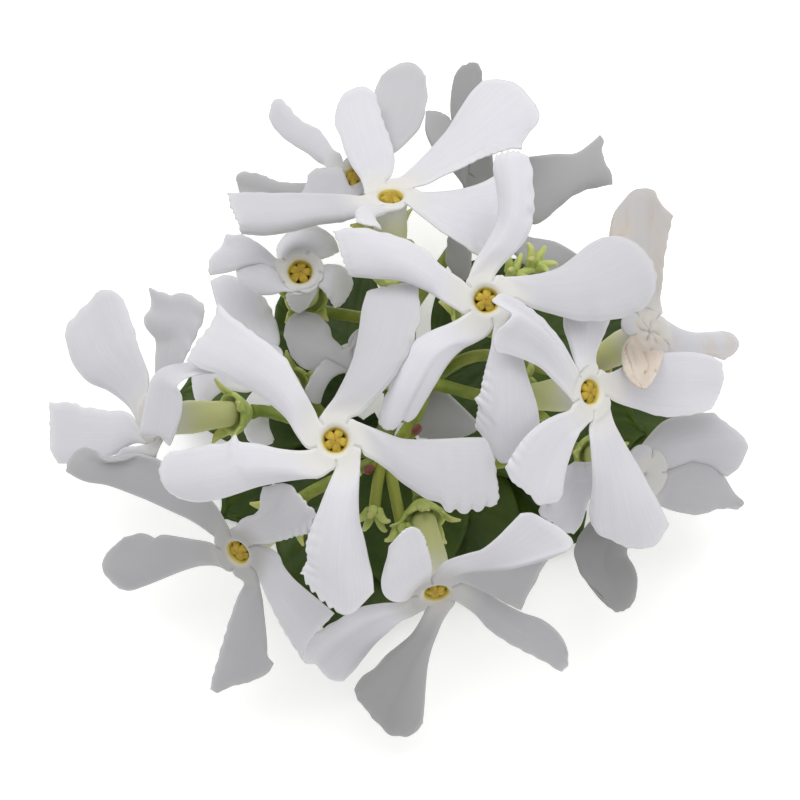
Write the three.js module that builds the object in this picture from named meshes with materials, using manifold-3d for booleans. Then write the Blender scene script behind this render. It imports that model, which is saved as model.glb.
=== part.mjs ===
// Star jasmine: one cut flowering sprig that lies on a surface. Its main stem lies flat, seven leaves
// spread under it and a head of fourteen blooms faces up and forward.
// Millimetres, +Z up. Origin: under the middle of the sprig, on the surface. The cut end of its stem
// points to +Y, and +X is to the right of the one who looks at the blooms.
import * as THREE from 'three';
import { mergeVertices } from 'three/addons/utils/BufferGeometryUtils.js';
import Module from 'manifold-3d';

const wasm = await Module();
wasm.setup();

// The head of blooms is laid out in a frame of its own: x to the right, y up the head and z out of it.
// It leans back, so that its z points up and to the front of the sprig.
const LEAN = THREE.MathUtils.degToRad(20);
const LIFT = 22; // from the surface to the head's origin
const SHIFT_X = 0.5; // from the middle of the sprig to the head's origin
const SHIFT_Y = -5.7;
// Places in the head are given in plan: where they stand when seen from this far over its origin.
const SIGHT = 300;

// A bloom: salver-shaped, a narrow tube with a flat eye and up to five lobes.
const TUBE_LENGTH = 7;
const LOBE_ROOT = 1.5; // radius at which a lobe leaves the eye
const PETAL = 0.6; // thickness of a lobe
const SLOTS = 5; // places for lobes round an eye
const SEAM = 0.3; // gap between two pieces that touch

// Each bloom has its eye's place in plan and height, the bearing and tilt of the way it faces, in degrees,
// the turn of its first slot, and its lobes. A lobe is given by its slot and by the two corners of its end,
// the broad side's and the narrow side's, in plan and with their rise over the eye. Where a value is a
// pair, the broad side's comes first, and one number stands for both.
const BLOOMS = [
  { at: [-4.8, -3], height: 7, bearing: 90, tilt: 5, turn: 66, lobes: [
    { slot: 0, broad: [1.5, 8.4], narrow: [-2.1, 8.1], rise: -1.8 },
    { slot: 1, broad: [-13.6, 7.1], narrow: [-14.4, 2.7], rise: -1 },
    { slot: 2, broad: [-17.4, -3.9], narrow: [-17, -7.1], rise: -1, curl: [-10, -50] },
    { slot: 3, broad: [-7, -13.2], narrow: [-2, -14.1], rise: -1, bulge: 0.14, flare: 0.75 },
    { slot: 4, broad: [7.2, -8], narrow: [7.2, -3], rise: -1 },
  ] },
  { at: [6.4, 7.4], height: 5, bearing: 45, tilt: 10, turn: 8, lobes: [
    { slot: 0, broad: [18.7, 6.8], narrow: [17.8, 11.9], rise: -1, bulge: 0.12 },
    { slot: 1, broad: [9.4, 17.9], narrow: [7.2, 18], rise: 1, curl: [-10, -60], belly: 0.4 },
    { slot: 2, broad: [-3.7, 12.7], narrow: [-3.4, 8.7], rise: -0.8, bulge: 0.04 },
    { slot: 3, broad: [-1.4, -1.2], narrow: [0.9, -1.5], rise: -1, curl: [-30, -70] },
    { slot: 4, broad: [6.5, -4.1], narrow: [10.1, -3], rise: -2.4 },
  ] },
  { at: [-0.7, 15.1], height: -4, bearing: 90, tilt: 52, turn: 40, lobes: [
    { slot: 0, broad: [9.2, 18.8], narrow: [8, 23.7], rise: [1.2, 3.4], bulge: 0.16 },
    { slot: 1, broad: [-1.6, 22.4], narrow: [-4.4, 22.1], rise: 0.8, bulge: 0.08 },
    { slot: 2, broad: [-12.6, 15.4], narrow: [-11.6, 12], rise: 0.6, curl: [-10, -60], arch: 0.2 },
    { slot: 3, broad: [-3.1, 13.2], narrow: [-1.3, 12.9], rise: 2.4, swing: -15 },
    { slot: 4, broad: [5.8, 10.8], narrow: [7.4, 17.2], rise: [-1.8, 1.8] },
  ] },
  { at: [14.1, 0.6], height: 2, bearing: 5, tilt: 42, turn: 0, lobes: [
    { slot: 0, broad: [22.8, -1], narrow: [23.4, 3.5], rise: 1, bulge: 0.12 },
    { slot: 1, broad: [15.7, 7.9], narrow: [12.6, 7.6], rise: -0.5 },
    { slot: 2, broad: [7.6, 7.6], narrow: [8.1, 4.1], rise: 1.4 },
    { slot: 3, broad: [9.2, -6.5], narrow: [12.1, -7.6], rise: 0.5, bulge: 0.03, belly: [0.6, 0] },
    { slot: 4, broad: [14.8, -10.4], narrow: [19.9, -9.6], rise: [-1.8, 0.2] },
  ] },
  { at: [-3.5, 16.6], height: -9.5, bearing: 120, tilt: 45, turn: 60, lobes: [
    { slot: 0, broad: [1.9, 24.2], narrow: [-1.8, 24.4], rise: -3, bulge: 0.17, flare: 0.5 },
    { slot: 1, broad: [-8.4, 22.1], narrow: [-9.6, 20.8], rise: 0, bulge: 0.05 },
    { slot: 2, broad: [-11.9, 16.9], narrow: [-12.1, 14.8], rise: -1 },
    { slot: 3, broad: [-6.9, 16.6], narrow: [-6.5, 13.9], rise: 1, swing: -15, arch: 0.8 },
  ] },
  { at: [6.7, 15.9], height: -12, bearing: 60, tilt: 20, turn: 20, lobes: [
    { slot: 0, broad: [15.8, 15.9], narrow: [15, 19.5], rise: -1, bulge: -0.1 },
    { slot: 1, broad: [6.1, 24.4], narrow: [3.8, 24], rise: -1, bulge: 0.12 },
    { slot: 2, broad: [3.5, 21], narrow: [1.9, 21.3], rise: 0, swing: -25 },
    { slot: 3, broad: [3.3, 10.2], narrow: [5.3, 8.8], rise: 0 },
    { slot: 4, broad: [11, 9.2], narrow: [12.9, 11], rise: 0 },
  ] },
  { at: [-7.4, 9.5], height: -7, bearing: 100, tilt: 15, turn: 80, lobes: [
    { slot: 0, broad: [-4.2, 11.9], narrow: [-9.1, 12.8], rise: -3, bulge: 0.25, flare: 0.5, neck: 1.1 },
    { slot: 1, broad: [-12.7, 12.1], narrow: [-14.1, 9.8], rise: -0.8, swing: -8, flare: 0.8 },
    { slot: 2, broad: [-12, 10.5], narrow: [-10.5, 7.6], rise: -0.5, swing: -25, flare: 0.45 },
    { slot: 3, broad: [-8.1, 6.6], narrow: [-6.3, 6.4], rise: -3, swing: -14, bulge: 0.12, arch: 0.2 },
    { slot: 4, broad: [-4.9, 6.7], narrow: [-3.5, 9.4], rise: -2.5, swing: -25, bulge: 0.1, arch: 0.2 },
  ] },
  { at: [18.4, 5], height: -5.5, bearing: 30, tilt: 40, turn: -10, lobes: [
    { slot: 0, broad: [24.3, 2.9], narrow: [24.2, 5.2], rise: -2, bulge: 0.15 },
    { slot: 1, broad: [20.1, 14.1], narrow: [15.8, 13.9], rise: 0, swing: 38, bulge: 0.14, flare: 0.5 },
    { slot: 3, broad: [16.9, 1.6], narrow: [18.5, 1.5], rise: 6.2, swing: 20 },
  ] },
  { at: [18.2, -5.5], height: -6.5, bearing: -20, tilt: 35, turn: 12, lobes: [
    { slot: 0, broad: [24.2, -5.7], narrow: [24.2, -0.7], rise: 0.5, swing: 8, bulge: 0.14,
      flare: [0.62, 0.35] },
    { slot: 2, broad: [10.8, -7.8], narrow: [13.5, -9.7], rise: 0, swing: 15, flare: 0.45 },
    { slot: 3, broad: [14.4, -15.3], narrow: [17.4, -14.8], rise: 0, swing: 20, bulge: 0.1,
      belly: [0.7, 0.2] },
    { slot: 4, broad: [24, -8.1], narrow: [25, -6.5], rise: -0.6, swing: 25, bulge: 0.04,
      belly: [0.6, 0.2] },
  ] },
  { at: [2.7, -14.3], height: 0, bearing: -80, tilt: 52, turn: 45, lobes: [
    { slot: 0, broad: [9.6, -15.3], narrow: [10.6, -8.4], rise: [3.2, -0.4], bulge: 0.22, fold: -20 },
    { slot: 1, broad: [2.2, -10.1], narrow: [-1, -11], rise: 3, bulge: 0.08, flare: 0.4, belly: [0, 0.9] },
    { slot: 2, broad: [-7.3, -18.8], narrow: [-3.6, -20.4], rise: -1.2, swing: 12 },
    { slot: 3, broad: [-3, -21.6], narrow: [1.6, -24.7], rise: 3, bulge: 0.1, flare: [0.85, 1] },
    { slot: 4, broad: [11.9, -20.1], narrow: [12.7, -18.2], rise: 1.5 },
  ] },
  { at: [-12, -11.3], height: -1, bearing: -140, tilt: 42, turn: 40, lobes: [
    { slot: 0, broad: [-6.4, -9.6], narrow: [-9.8, -7], rise: 2, bulge: 0.06 },
    { slot: 1, broad: [-22.2, -3.6], narrow: [-24, -5.8], rise: 1, swing: 22 },
    { slot: 2, broad: [-20.6, -10.2], narrow: [-21.3, -13.9], rise: 0.5, swing: 8, bulge: 0.1 },
    { slot: 3, broad: [-13.9, -21.6], narrow: [-9.5, -19.9], rise: 0.5, swing: 12, bulge: 0.03,
      flare: 1.05, neck: 0.9 },
    { slot: 4, broad: [-7, -19.4], narrow: [-4.9, -15.6], rise: 0, bulge: 0.02, flare: 0.9 },
  ] },
  { at: [-18.2, -1.5], height: -3, bearing: 185, tilt: 55, turn: 3, lobes: [
    { slot: 0, broad: [-12.7, 1.6], narrow: [-12.8, 2.6], rise: [-0.4, -1.8], swing: -60,
      curl: [-5, -10], belly: 1.2, twist: 70, handle: [-19.9, 3.6, 4] },
    { slot: 1, broad: [-14.5, 6.5], narrow: [-18.6, 8.2], rise: [-1.4, 0.8], belly: 0.4 },
    { slot: 2, broad: [-20.6, 7.9], narrow: [-24.7, 5.6], rise: [-1.4, 0.8], bulge: 0.14,
      belly: [0, 1.1] },
    { slot: 3, broad: [-25.9, -0.3], narrow: [-25.5, -4.4], rise: 2.5, swing: -15 },
    { slot: 4, broad: [-21.5, -4.7], narrow: [-18.4, -5.6], rise: -1, swing: -30 },
  ] },
  { at: [-10.2, 2.1], height: -11, bearing: 150, tilt: 20, turn: 40, lobes: [
    { slot: 1, broad: [-10.4, 8], narrow: [-13.9, 8.4], rise: -0.5, bulge: 0.1, flare: 0.45, neck: 1.3,
      belly: [0.7, 0] },
    { slot: 2, broad: [-15.6, 1.9], narrow: [-14.7, -0.9], rise: -0.5, neck: 1.2 },
    { slot: 3, broad: [-11.3, -3.2], narrow: [-9.3, -3.2], rise: -0.8, swing: 12 },
  ] },
  { at: [-2.1, 3.7], height: -10.5, bearing: 60, tilt: 10, turn: -45, lobes: [
    { slot: 0, broad: [1.5, -2.9], narrow: [6.3, -2.2], rise: -1 },
    { slot: 2, broad: [-7.7, 6.4], narrow: [-7.4, 3.1], rise: 0, swing: 50, bulge: 0.12 },
    { slot: 3, broad: [-7.1, 0.6], narrow: [-5.9, -0.3], rise: 0, swing: 30 },
  ] },
];

// What a lobe is like where its entry doesn't say.
const LOBE = {
  swing: 0, // degrees that its root is turned from its slot
  bulge: 0.06, // how far the middle of its end runs past the corners, as a share of its length
  curl: [-10, -25], // degrees that its sides bend back
  flare: 0.62, // share of its length where it has its full width
  neck: 1, // width of its root, as a share of the usual one
  belly: 0, // extra half width at mid length
  fold: 0, // degrees that its sides fold up along the midrib
  arch: 1.6, // how far the midrib's handle stands over the eye
  twist: 0, // degrees that its root is rolled about the midrib
  handle: null, // place and rise of the midrib's handle, for a lobe that doesn't leave its slot straight
};
const NECK = 0.85; // half width of a usual root
const WIDENS = 0.04; // share of its length where a lobe starts to widen
const CURLED = 0.4; // share of its length where its sides have their full curl
const FOLDED = [0.1, 0.5]; // shares of its length between which a fold opens
const SLACK = 0.5; // least half width that a curl is worked out for
const CORNER = 1.3; // power by which the end's outline runs out to its corners
const LEAD = 0.45; // length of the midrib's handle, as a share of the lobe's reach
const SHARE = 0.4; // share of the end edge that lies on the narrow side
const RUFFLE = 0.16; // height of the waves on the broad edge
const STEPS = 48; // steps along a lobe's midrib
const COLUMNS = 3; // faces across a lobe
// Blooms lower in the head than this get fewer faces.
const DEEP = -8;
const FACES = { near: { sides: 9, rows: 5 }, far: { sides: 8, rows: 4 } };

// Profiles about a bloom's axis, as radius and height over its eye.
const TUBE = [
  [0, -TUBE_LENGTH], [0.95, -TUBE_LENGTH], [1.3, -3.4], [1.25, -0.9], [2.05, -0.15], [1.9, 0.32],
  [0.95, 0.28], [0.8, -1.25], [0, -1.25],
];
const CUP_FOOT = TUBE_LENGTH + 1.4;
const CUP = [[0, -CUP_FOOT], [0.75, -CUP_FOOT], [1.75, -6.9], [1.3, -6.7], [1.25, -7.3], [0, -7.3]];
const CUP_SIDES = 7;
const SEPAL_PATH = [[1.5, -7.2], [1.9, -6.1], [2.8, -5.7]];
const SEPAL_HALVES = [0.6, 0.5, 0.12]; // half its width along that path
const SEPAL_THICK = 0.5;
const SEPAL_TURN = 0.3; // of a slot

// The cone of anthers: the radii of its ribs and pleats, its height, its foot under the eye and the share
// of the radii that is left at its tip.
const CONE = { rib: 0.5, pleat: 0.28, height: 1, foot: 0.95, tip: 0.35 };

// The stem: the main stem's lying stretch, then the branches and the pedicels.
const MAIN_RADIUS = 1.4;
const MAIN_SIDES = 8;
const MAIN_FLAT = MAIN_RADIUS * Math.cos(Math.PI / MAIN_SIDES); // from its axis to a flat side
const CUT_END = 21; // how far back of the head's origin its two ends lie
const MAIN_END = 6;
const BRANCH = 0.75;
const SIDE_BRANCH = 0.6;
const PEDICEL = 0.5;
const PEDICEL_LEAD = 1.3; // how far under its foot a pedicel turns into the bloom's axis
const STALK_SIDES = 5;

// The forks of the sprig, and places that its branches pass, in the head's frame.
const FORKS = {
  low: [0, 0.2, -21.4],
  back: [0, 6, -19.5],
  front: [-0.5, -4, -9],
  right: [2, 1.4, -8.6],
};
const BRANCHES = [
  { points: [FORKS.low, [-1.4, -3.4, -15], FORKS.front], radius: BRANCH, steps: 5 },
  { points: [[0, 4.5, -22.6], FORKS.back], radius: BRANCH, steps: 2 },
  { points: [FORKS.front, [1, -1.6, -8.2], FORKS.right], radius: SIDE_BRANCH, steps: 3 },
];
const PEDICEL_STEPS = 4;

// Which fork carries each bloom's pedicel, and a place that it passes on its way, if any.
const CARRIED = [
  { fork: 'front' }, { fork: 'right' }, { fork: 'back' }, { fork: 'right' }, { fork: 'back' },
  { fork: 'back' }, { fork: 'back' }, { fork: 'right', by: [6, 3.4, -10] },
  { fork: 'front', by: [6, -5, -11.5] }, { fork: 'front' }, { fork: 'front' }, { fork: 'front' },
  { fork: 'front', by: [-4.5, -2.5, -15] }, { fork: 'low' },
];

// Leaves, in two layers: where each starts and ends in plan, and the heights of its start, its lowest
// stretch and its tip over the surface.
const LEAVES = [
  { from: [-2.3, 3.7], to: [-8.5, 8.4], width: 10, heights: [1.7, 0.5, 1.0] },
  { from: [-1.6, -1.4], to: [-13.2, -8.6], width: 10, heights: [1.7, 0.5, 1.0] },
  { from: [1.6, -1.4], to: [13.6, -10.4], width: 10.5, heights: [1.7, 0.5, 1.0] },
  { from: [1.9, 3.5], to: [12.4, 9.2], width: 10, heights: [1.7, 0.5, 1.0] },
  { from: [-2.4, 0.6], to: [-16.6, 0.2], width: 10, heights: [3.6, 2.8, 2.2] },
  { from: [0.1, -3.0], to: [0.6, -14.6], width: 10, heights: [4.1, 3.3, 2.6] },
  { from: [0.6, -0.7], to: [18.2, -2.4], width: 10.5, heights: [3.9, 3.3, 2.6] },
];
const LEAF = 0.7; // thickness of a blade at its edge
const LEAF_RIB = 0.35; // what its midrib adds
const LEAF_STALK = 0.5; // half width of its stalk
const LEAF_STALK_SHARE = 0.08; // share of its length that is stalk
const LEAF_DISH = 0.9; // how far its sides rise
const LEAF_WAVE = 0.25; // height of the waves along its edges
const LEAF_TURNS = 2.2; // half waves along an edge
const LEAF_EARLY = 0.85; // under 1, its widest place lies nearer to its stalk
const LEAF_FULL = 0.8; // under 1, its outline is fuller than a sine
const LEAF_ROWS = 9;
const LEAF_COLUMNS = 4;

const WHITE = new THREE.MeshStandardMaterial({ color: 0xf2f1f6, roughness: 0.55, metalness: 0 });
const YELLOW = new THREE.MeshStandardMaterial({ color: 0xc9a227, roughness: 0.6, metalness: 0 });
const SEPAL = new THREE.MeshStandardMaterial({ color: 0xb5bb62, roughness: 0.6, metalness: 0 });
const STEM = new THREE.MeshStandardMaterial({ color: 0x9aa84a, roughness: 0.6, metalness: 0 });
const LEAF_GREEN = new THREE.MeshStandardMaterial({ color: 0x2c4a18, roughness: 0.5, metalness: 0 });

const radians = THREE.MathUtils.degToRad;
const mix = THREE.MathUtils.lerp;
const ease = THREE.MathUtils.smoothstep;
const v3 = (x, y, z) => new THREE.Vector3(x, y, z);
const pair = (value) => (Array.isArray(value) ? value : [value, value]);

// ---------------------------------------------------------------------------------------------------------
// Solids

function solid(geometry) {
  const bare = geometry.index ? geometry.toNonIndexed() : geometry.clone();
  bare.deleteAttribute('normal');
  bare.deleteAttribute('uv');
  const whole = mergeVertices(bare, 1e-4);
  return new wasm.Manifold(new wasm.Mesh({
    numProp: 3,
    vertProperties: new Float32Array(whole.attributes.position.array),
    triVerts: new Uint32Array(whole.index.array),
  }));
}

function fused(geometries) {
  return geometries.map(solid).reduce((sum, next) => sum.add(next));
}

function meshOf(name, body, material) {
  const { vertProperties, triVerts } = body.getMesh();
  const geometry = new THREE.BufferGeometry();
  geometry.setAttribute('position', new THREE.BufferAttribute(new Float32Array(vertProperties), 3));
  geometry.setIndex(new THREE.BufferAttribute(new Uint32Array(triVerts), 1));
  const mesh = new THREE.Mesh(geometry, material);
  mesh.name = name;
  return mesh;
}

// A closed blade round a grid of points, rows from root to tip. Its thickness is given for each place
// across it, from 0 to 1. Both faces are split into triangles alike.
function blade(grid, thicknessAt) {
  const rows = grid.length;
  const columns = grid[0].length;
  const points = [];
  const triangles = [];
  const normalAt = (i, j) => {
    const along = grid[Math.min(i + 1, rows - 1)][j].clone().sub(grid[Math.max(i - 1, 0)][j]);
    const across = grid[i][Math.min(j + 1, columns - 1)].clone().sub(grid[i][Math.max(j - 1, 0)]);
    return across.cross(along).normalize();
  };
  for (const side of [0.5, -0.5]) {
    for (let i = 0; i < rows; i += 1) {
      for (let j = 0; j < columns; j += 1) {
        const offset = side * thicknessAt(j / (columns - 1));
        points.push(...normalAt(i, j).multiplyScalar(offset).add(grid[i][j]).toArray());
      }
    }
  }
  const top = (i, j) => i * columns + j;
  const bottom = (i, j) => rows * columns + top(i, j);
  const quad = (a, b, c, d) => triangles.push(a, b, c, a, c, d);
  for (let i = 0; i < rows - 1; i += 1) {
    for (let j = 0; j < columns - 1; j += 1) {
      quad(top(i, j), top(i, j + 1), top(i + 1, j + 1), top(i + 1, j));
      triangles.push(bottom(i, j), bottom(i + 1, j + 1), bottom(i, j + 1));
      triangles.push(bottom(i, j), bottom(i + 1, j), bottom(i + 1, j + 1));
    }
    quad(top(i, 0), top(i + 1, 0), bottom(i + 1, 0), bottom(i, 0));
    const last = columns - 1;
    quad(top(i + 1, last), top(i, last), bottom(i, last), bottom(i + 1, last));
  }
  for (let j = 0; j < columns - 1; j += 1) {
    const end = rows - 1;
    quad(top(0, j + 1), top(0, j), bottom(0, j), bottom(0, j + 1));
    quad(top(end, j), top(end, j + 1), bottom(end, j + 1), bottom(end, j));
  }
  const geometry = new THREE.BufferGeometry();
  geometry.setAttribute('position', new THREE.Float32BufferAttribute(points, 3));
  geometry.setIndex(triangles);
  return geometry;
}

// A body of revolution about z, from a profile of [radius, z] that starts and ends on the axis.
function turned(profile, sides) {
  const outline = profile.map(([radius, z]) => new THREE.Vector2(radius, z));
  return new THREE.LatheGeometry(outline, sides).rotateX(Math.PI / 2);
}

// A closed outline about the origin, with the radius that each of its corners has.
function outlineOf(radii) {
  return new THREE.Shape(radii.map((radius, k) => {
    const angle = (2 * Math.PI * k) / radii.length;
    return new THREE.Vector2(radius * Math.cos(angle), radius * Math.sin(angle));
  }));
}

// A round stalk along a smooth curve through the points.
function stalk(points, radius, steps) {
  const section = outlineOf(Array(STALK_SIDES).fill(radius));
  const path = new THREE.CatmullRomCurve3(points);
  return new THREE.ExtrudeGeometry(section, { steps, extrudePath: path, bevelEnabled: false });
}

// ---------------------------------------------------------------------------------------------------------
// Frames

const part = new THREE.Group();
const head = new THREE.Group();
head.rotation.x = LEAN;
head.position.set(SHIFT_X, SHIFT_Y, LIFT);
part.add(head);

function inHead([x, y], height) {
  const near = (SIGHT - height) / SIGHT;
  return v3(x * near, y * near, height);
}

// The point over the surface, at that height, that stands at a place in plan.
function onTable([x, y], height) {
  const sight = v3(0, 0, SIGHT).applyEuler(head.rotation).add(head.position);
  const ray = v3(x / SIGHT, y / SIGHT, -1).applyEuler(head.rotation);
  return sight.addScaledVector(ray, (height - sight.z) / ray.z);
}

function bloomFrame(bloom) {
  const frame = new THREE.Group();
  const tilt = radians(bloom.tilt);
  const bearing = radians(bloom.bearing);
  const facing = v3(Math.sin(tilt) * Math.cos(bearing), Math.sin(tilt) * Math.sin(bearing), Math.cos(tilt));
  frame.position.copy(inHead(bloom.at, bloom.height));
  frame.quaternion.setFromUnitVectors(v3(0, 0, 1), facing);
  frame.updateMatrix();
  head.add(frame);
  return frame;
}

// ---------------------------------------------------------------------------------------------------------
// Corolla

// A place in plan, brought into the bloom's frame at a rise over its eye.
function inBloom(frame, [x, y], rise) {
  const inverse = frame.quaternion.clone().invert();
  const eye = v3(0, 0, SIGHT).sub(frame.position).applyQuaternion(inverse);
  const ray = v3(x / SIGHT, y / SIGHT, -1).applyQuaternion(inverse);
  return eye.addScaledVector(ray, (rise - eye.z) / ray.z);
}

// The midrib: a curve from start to end by a handle, with a normal carried along it.
function midrib(start, handle, end) {
  const curve = new THREE.QuadraticBezierCurve3(start, handle, end);
  const normal = v3(0, 0, 1);
  const samples = [];
  let length = 0;
  for (let k = 0; k <= STEPS; k += 1) {
    const s = k / STEPS;
    const point = curve.getPoint(s);
    const along = handle.clone().sub(start).multiplyScalar(1 - s);
    along.addScaledVector(end.clone().sub(handle), s).normalize();
    normal.addScaledVector(along, -normal.dot(along)).normalize();
    if (k > 0) length += point.distanceTo(samples[k - 1].point);
    samples.push({ point, along, normal: normal.clone() });
  }
  return { samples, length };
}

function onMidrib({ samples, length }, s) {
  const place = Math.min(s, 1) * STEPS;
  const k = Math.min(Math.floor(place), STEPS - 1);
  const [a, b] = [samples[k], samples[k + 1]];
  const point = a.point.clone().lerp(b.point, place - k);
  const along = a.along.clone().lerp(b.along, place - k).normalize();
  const normal = a.normal.clone().lerp(b.normal, place - k).normalize();
  if (s > 1) point.addScaledVector(along, (s - 1) * length);
  return { point, along, normal };
}

// A side of a lobe, from where its corner lies: its width there, and how far past the midrib's end.
function sideOf(corner, end, rib, values) {
  const last = rib.samples[STEPS];
  const edge = corner.clone().sub(end);
  const out = edge.dot(last.along.clone().cross(last.normal));
  const up = edge.dot(last.normal);
  return { ...values, out, up, width: Math.hypot(out, up), past: edge.dot(last.along) / rib.length };
}

// How far out from the midrib and up from it a side is, at a share of the way to its edge.
function acrossSide(side, lobe, reach, share) {
  const swell = side.belly * Math.sin(Math.PI * Math.min(reach, 1)) ** 2;
  const width = mix(NECK * lobe.neck, side.width, ease(reach, WIDENS, side.flare)) + swell;
  const bend = (radians(side.curl) * ease(reach, 0, CURLED)) / Math.max(width, SLACK);
  const run = share * width;
  const fold = Math.tan(radians(lobe.fold)) * run * ease(reach, ...FOLDED);
  if (Math.abs(bend) < 1e-4) return { out: run, up: fold };
  return { out: Math.sin(bend * run) / bend, up: (1 - Math.cos(bend * run)) / bend + fold };
}

// The middle surface of a lobe, rows from root to end and columns from the narrow to the broad edge.
function lobeGrid(frame, bloom, entry, rows) {
  const lobe = { ...LOBE, ...entry };
  const rootAngle = radians(bloom.turn + (360 / SLOTS) * lobe.slot + lobe.swing);
  const [riseBroad, riseNarrow] = pair(lobe.rise);
  const broadCorner = inBloom(frame, lobe.broad, riseBroad);
  const narrowCorner = inBloom(frame, lobe.narrow, riseNarrow);
  const end = narrowCorner.clone().lerp(broadCorner, SHARE);
  const outward = v3(Math.cos(rootAngle), Math.sin(rootAngle), 0);
  const start = outward.clone().multiplyScalar(LOBE_ROOT);
  const straight = start.clone().addScaledVector(outward, LEAD * Math.hypot(end.x, end.y));
  straight.z += lobe.arch;
  const handle = lobe.handle ? inBloom(frame, lobe.handle, lobe.handle[2]) : straight;
  const rib = midrib(start, handle, end);
  const [curls, flares, bellies] = [lobe.curl, lobe.flare, lobe.belly].map(pair);
  const broad = sideOf(broadCorner, end, rib, { curl: curls[0], flare: flares[0], belly: bellies[0] });
  const narrow = sideOf(narrowCorner, end, rib, { curl: curls[1], flare: flares[1], belly: bellies[1] });
  const roll = Math.atan2(broad.up - narrow.up, broad.out - narrow.out);
  const grid = [];
  for (let i = 0; i <= rows; i += 1) {
    const row = [];
    for (let j = 0; j <= COLUMNS; j += 1) {
      const t = (2 * j) / COLUMNS - 1;
      const side = t > 0 ? broad : narrow;
      const share = Math.abs(t);
      const reach = (side.past * share ** CORNER + lobe.bulge * (1 - share * share) + 1) * (i / rows);
      const { point, along, normal } = onMidrib(rib, reach);
      const across = along.clone().cross(normal);
      const turn = mix(radians(lobe.twist), roll, ease(reach, 0, 1));
      const flat = across.clone().multiplyScalar(Math.cos(turn)).addScaledVector(normal, Math.sin(turn));
      const up = normal.multiplyScalar(Math.cos(turn)).addScaledVector(across, -Math.sin(turn));
      const place = acrossSide(side, lobe, reach, share);
      if (t === 1 && i > rows / 2) place.up += i % 2 ? RUFFLE : -RUFFLE;
      row.push(point.addScaledVector(flat, place.out * Math.sign(t)).addScaledVector(up, place.up));
    }
    grid.push(row);
  }
  return grid;
}

function corolla(name, frame, bloom) {
  const { sides, rows } = bloom.height > DEEP ? FACES.near : FACES.far;
  const lobes = bloom.lobes.map((lobe) => blade(lobeGrid(frame, bloom, lobe, rows), () => PETAL));
  return meshOf(name, fused([turned(TUBE, sides), ...lobes]), WHITE);
}

// ---------------------------------------------------------------------------------------------------------
// Anthers and calyx

// Five anthers close into a cone, pleated where they meet, that stands in the throat.
function anthers(name) {
  const radii = [...Array(2 * SLOTS).keys()].map((k) => (k % 2 ? CONE.pleat : CONE.rib));
  const cone = new THREE.ExtrudeGeometry(outlineOf(radii), { depth: CONE.height, bevelEnabled: false });
  const places = cone.attributes.position;
  for (let k = 0; k < places.count; k += 1) {
    const taper = places.getZ(k) > CONE.height / 2 ? CONE.tip : 1;
    places.setXYZ(k, places.getX(k) * taper, places.getY(k) * taper, places.getZ(k) - CONE.foot);
  }
  return meshOf(name, solid(cone), YELLOW);
}

// A small cup under the tube, with five narrow sepals that curl back from its rim.
function calyx(name) {
  const sepals = [];
  for (let k = 0; k < SLOTS; k += 1) {
    const angle = (2 * Math.PI * (k + SEPAL_TURN)) / SLOTS;
    const outward = v3(Math.cos(angle), Math.sin(angle), 0);
    const aside = v3(-Math.sin(angle), Math.cos(angle), 0);
    const grid = SEPAL_PATH.map(([radius, z], i) => [1, -1].map((hand) => (
      outward.clone().multiplyScalar(radius).setZ(z).addScaledVector(aside, hand * SEPAL_HALVES[i]))));
    sepals.push(blade(grid, () => SEPAL_THICK));
  }
  return meshOf(name, fused([turned(CUP, CUP_SIDES), ...sepals]), SEPAL);
}

// ---------------------------------------------------------------------------------------------------------
// Stem and leaves

function stem(name, frames) {
  const inPart = (point) => point.clone().applyEuler(head.rotation).add(head.position);
  const onAxis = (frame, depth) => v3(0, 0, -depth).applyMatrix4(frame.matrix);
  const main = new THREE.CylinderGeometry(MAIN_RADIUS, MAIN_RADIUS, CUT_END - MAIN_END, MAIN_SIDES, 1);
  main.rotateY(Math.PI / MAIN_SIDES);
  main.translate(SHIFT_X, SHIFT_Y + (CUT_END + MAIN_END) / 2, MAIN_FLAT);
  const branches = BRANCHES.map(({ points, radius, steps }) => (
    stalk(points.map((point) => inPart(v3(...point))), radius, steps)));
  const pedicels = frames.map((frame, k) => {
    const { fork, by } = CARRIED[k];
    const places = [FORKS[fork], ...(by ? [by] : [])].map((point) => v3(...point));
    places.push(onAxis(frame, CUP_FOOT + PEDICEL_LEAD), onAxis(frame, CUP_FOOT + SEAM));
    return stalk(places.map(inPart), PEDICEL, PEDICEL_STEPS);
  });
  return meshOf(name, fused([main, ...branches, ...pedicels]), STEM);
}

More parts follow.
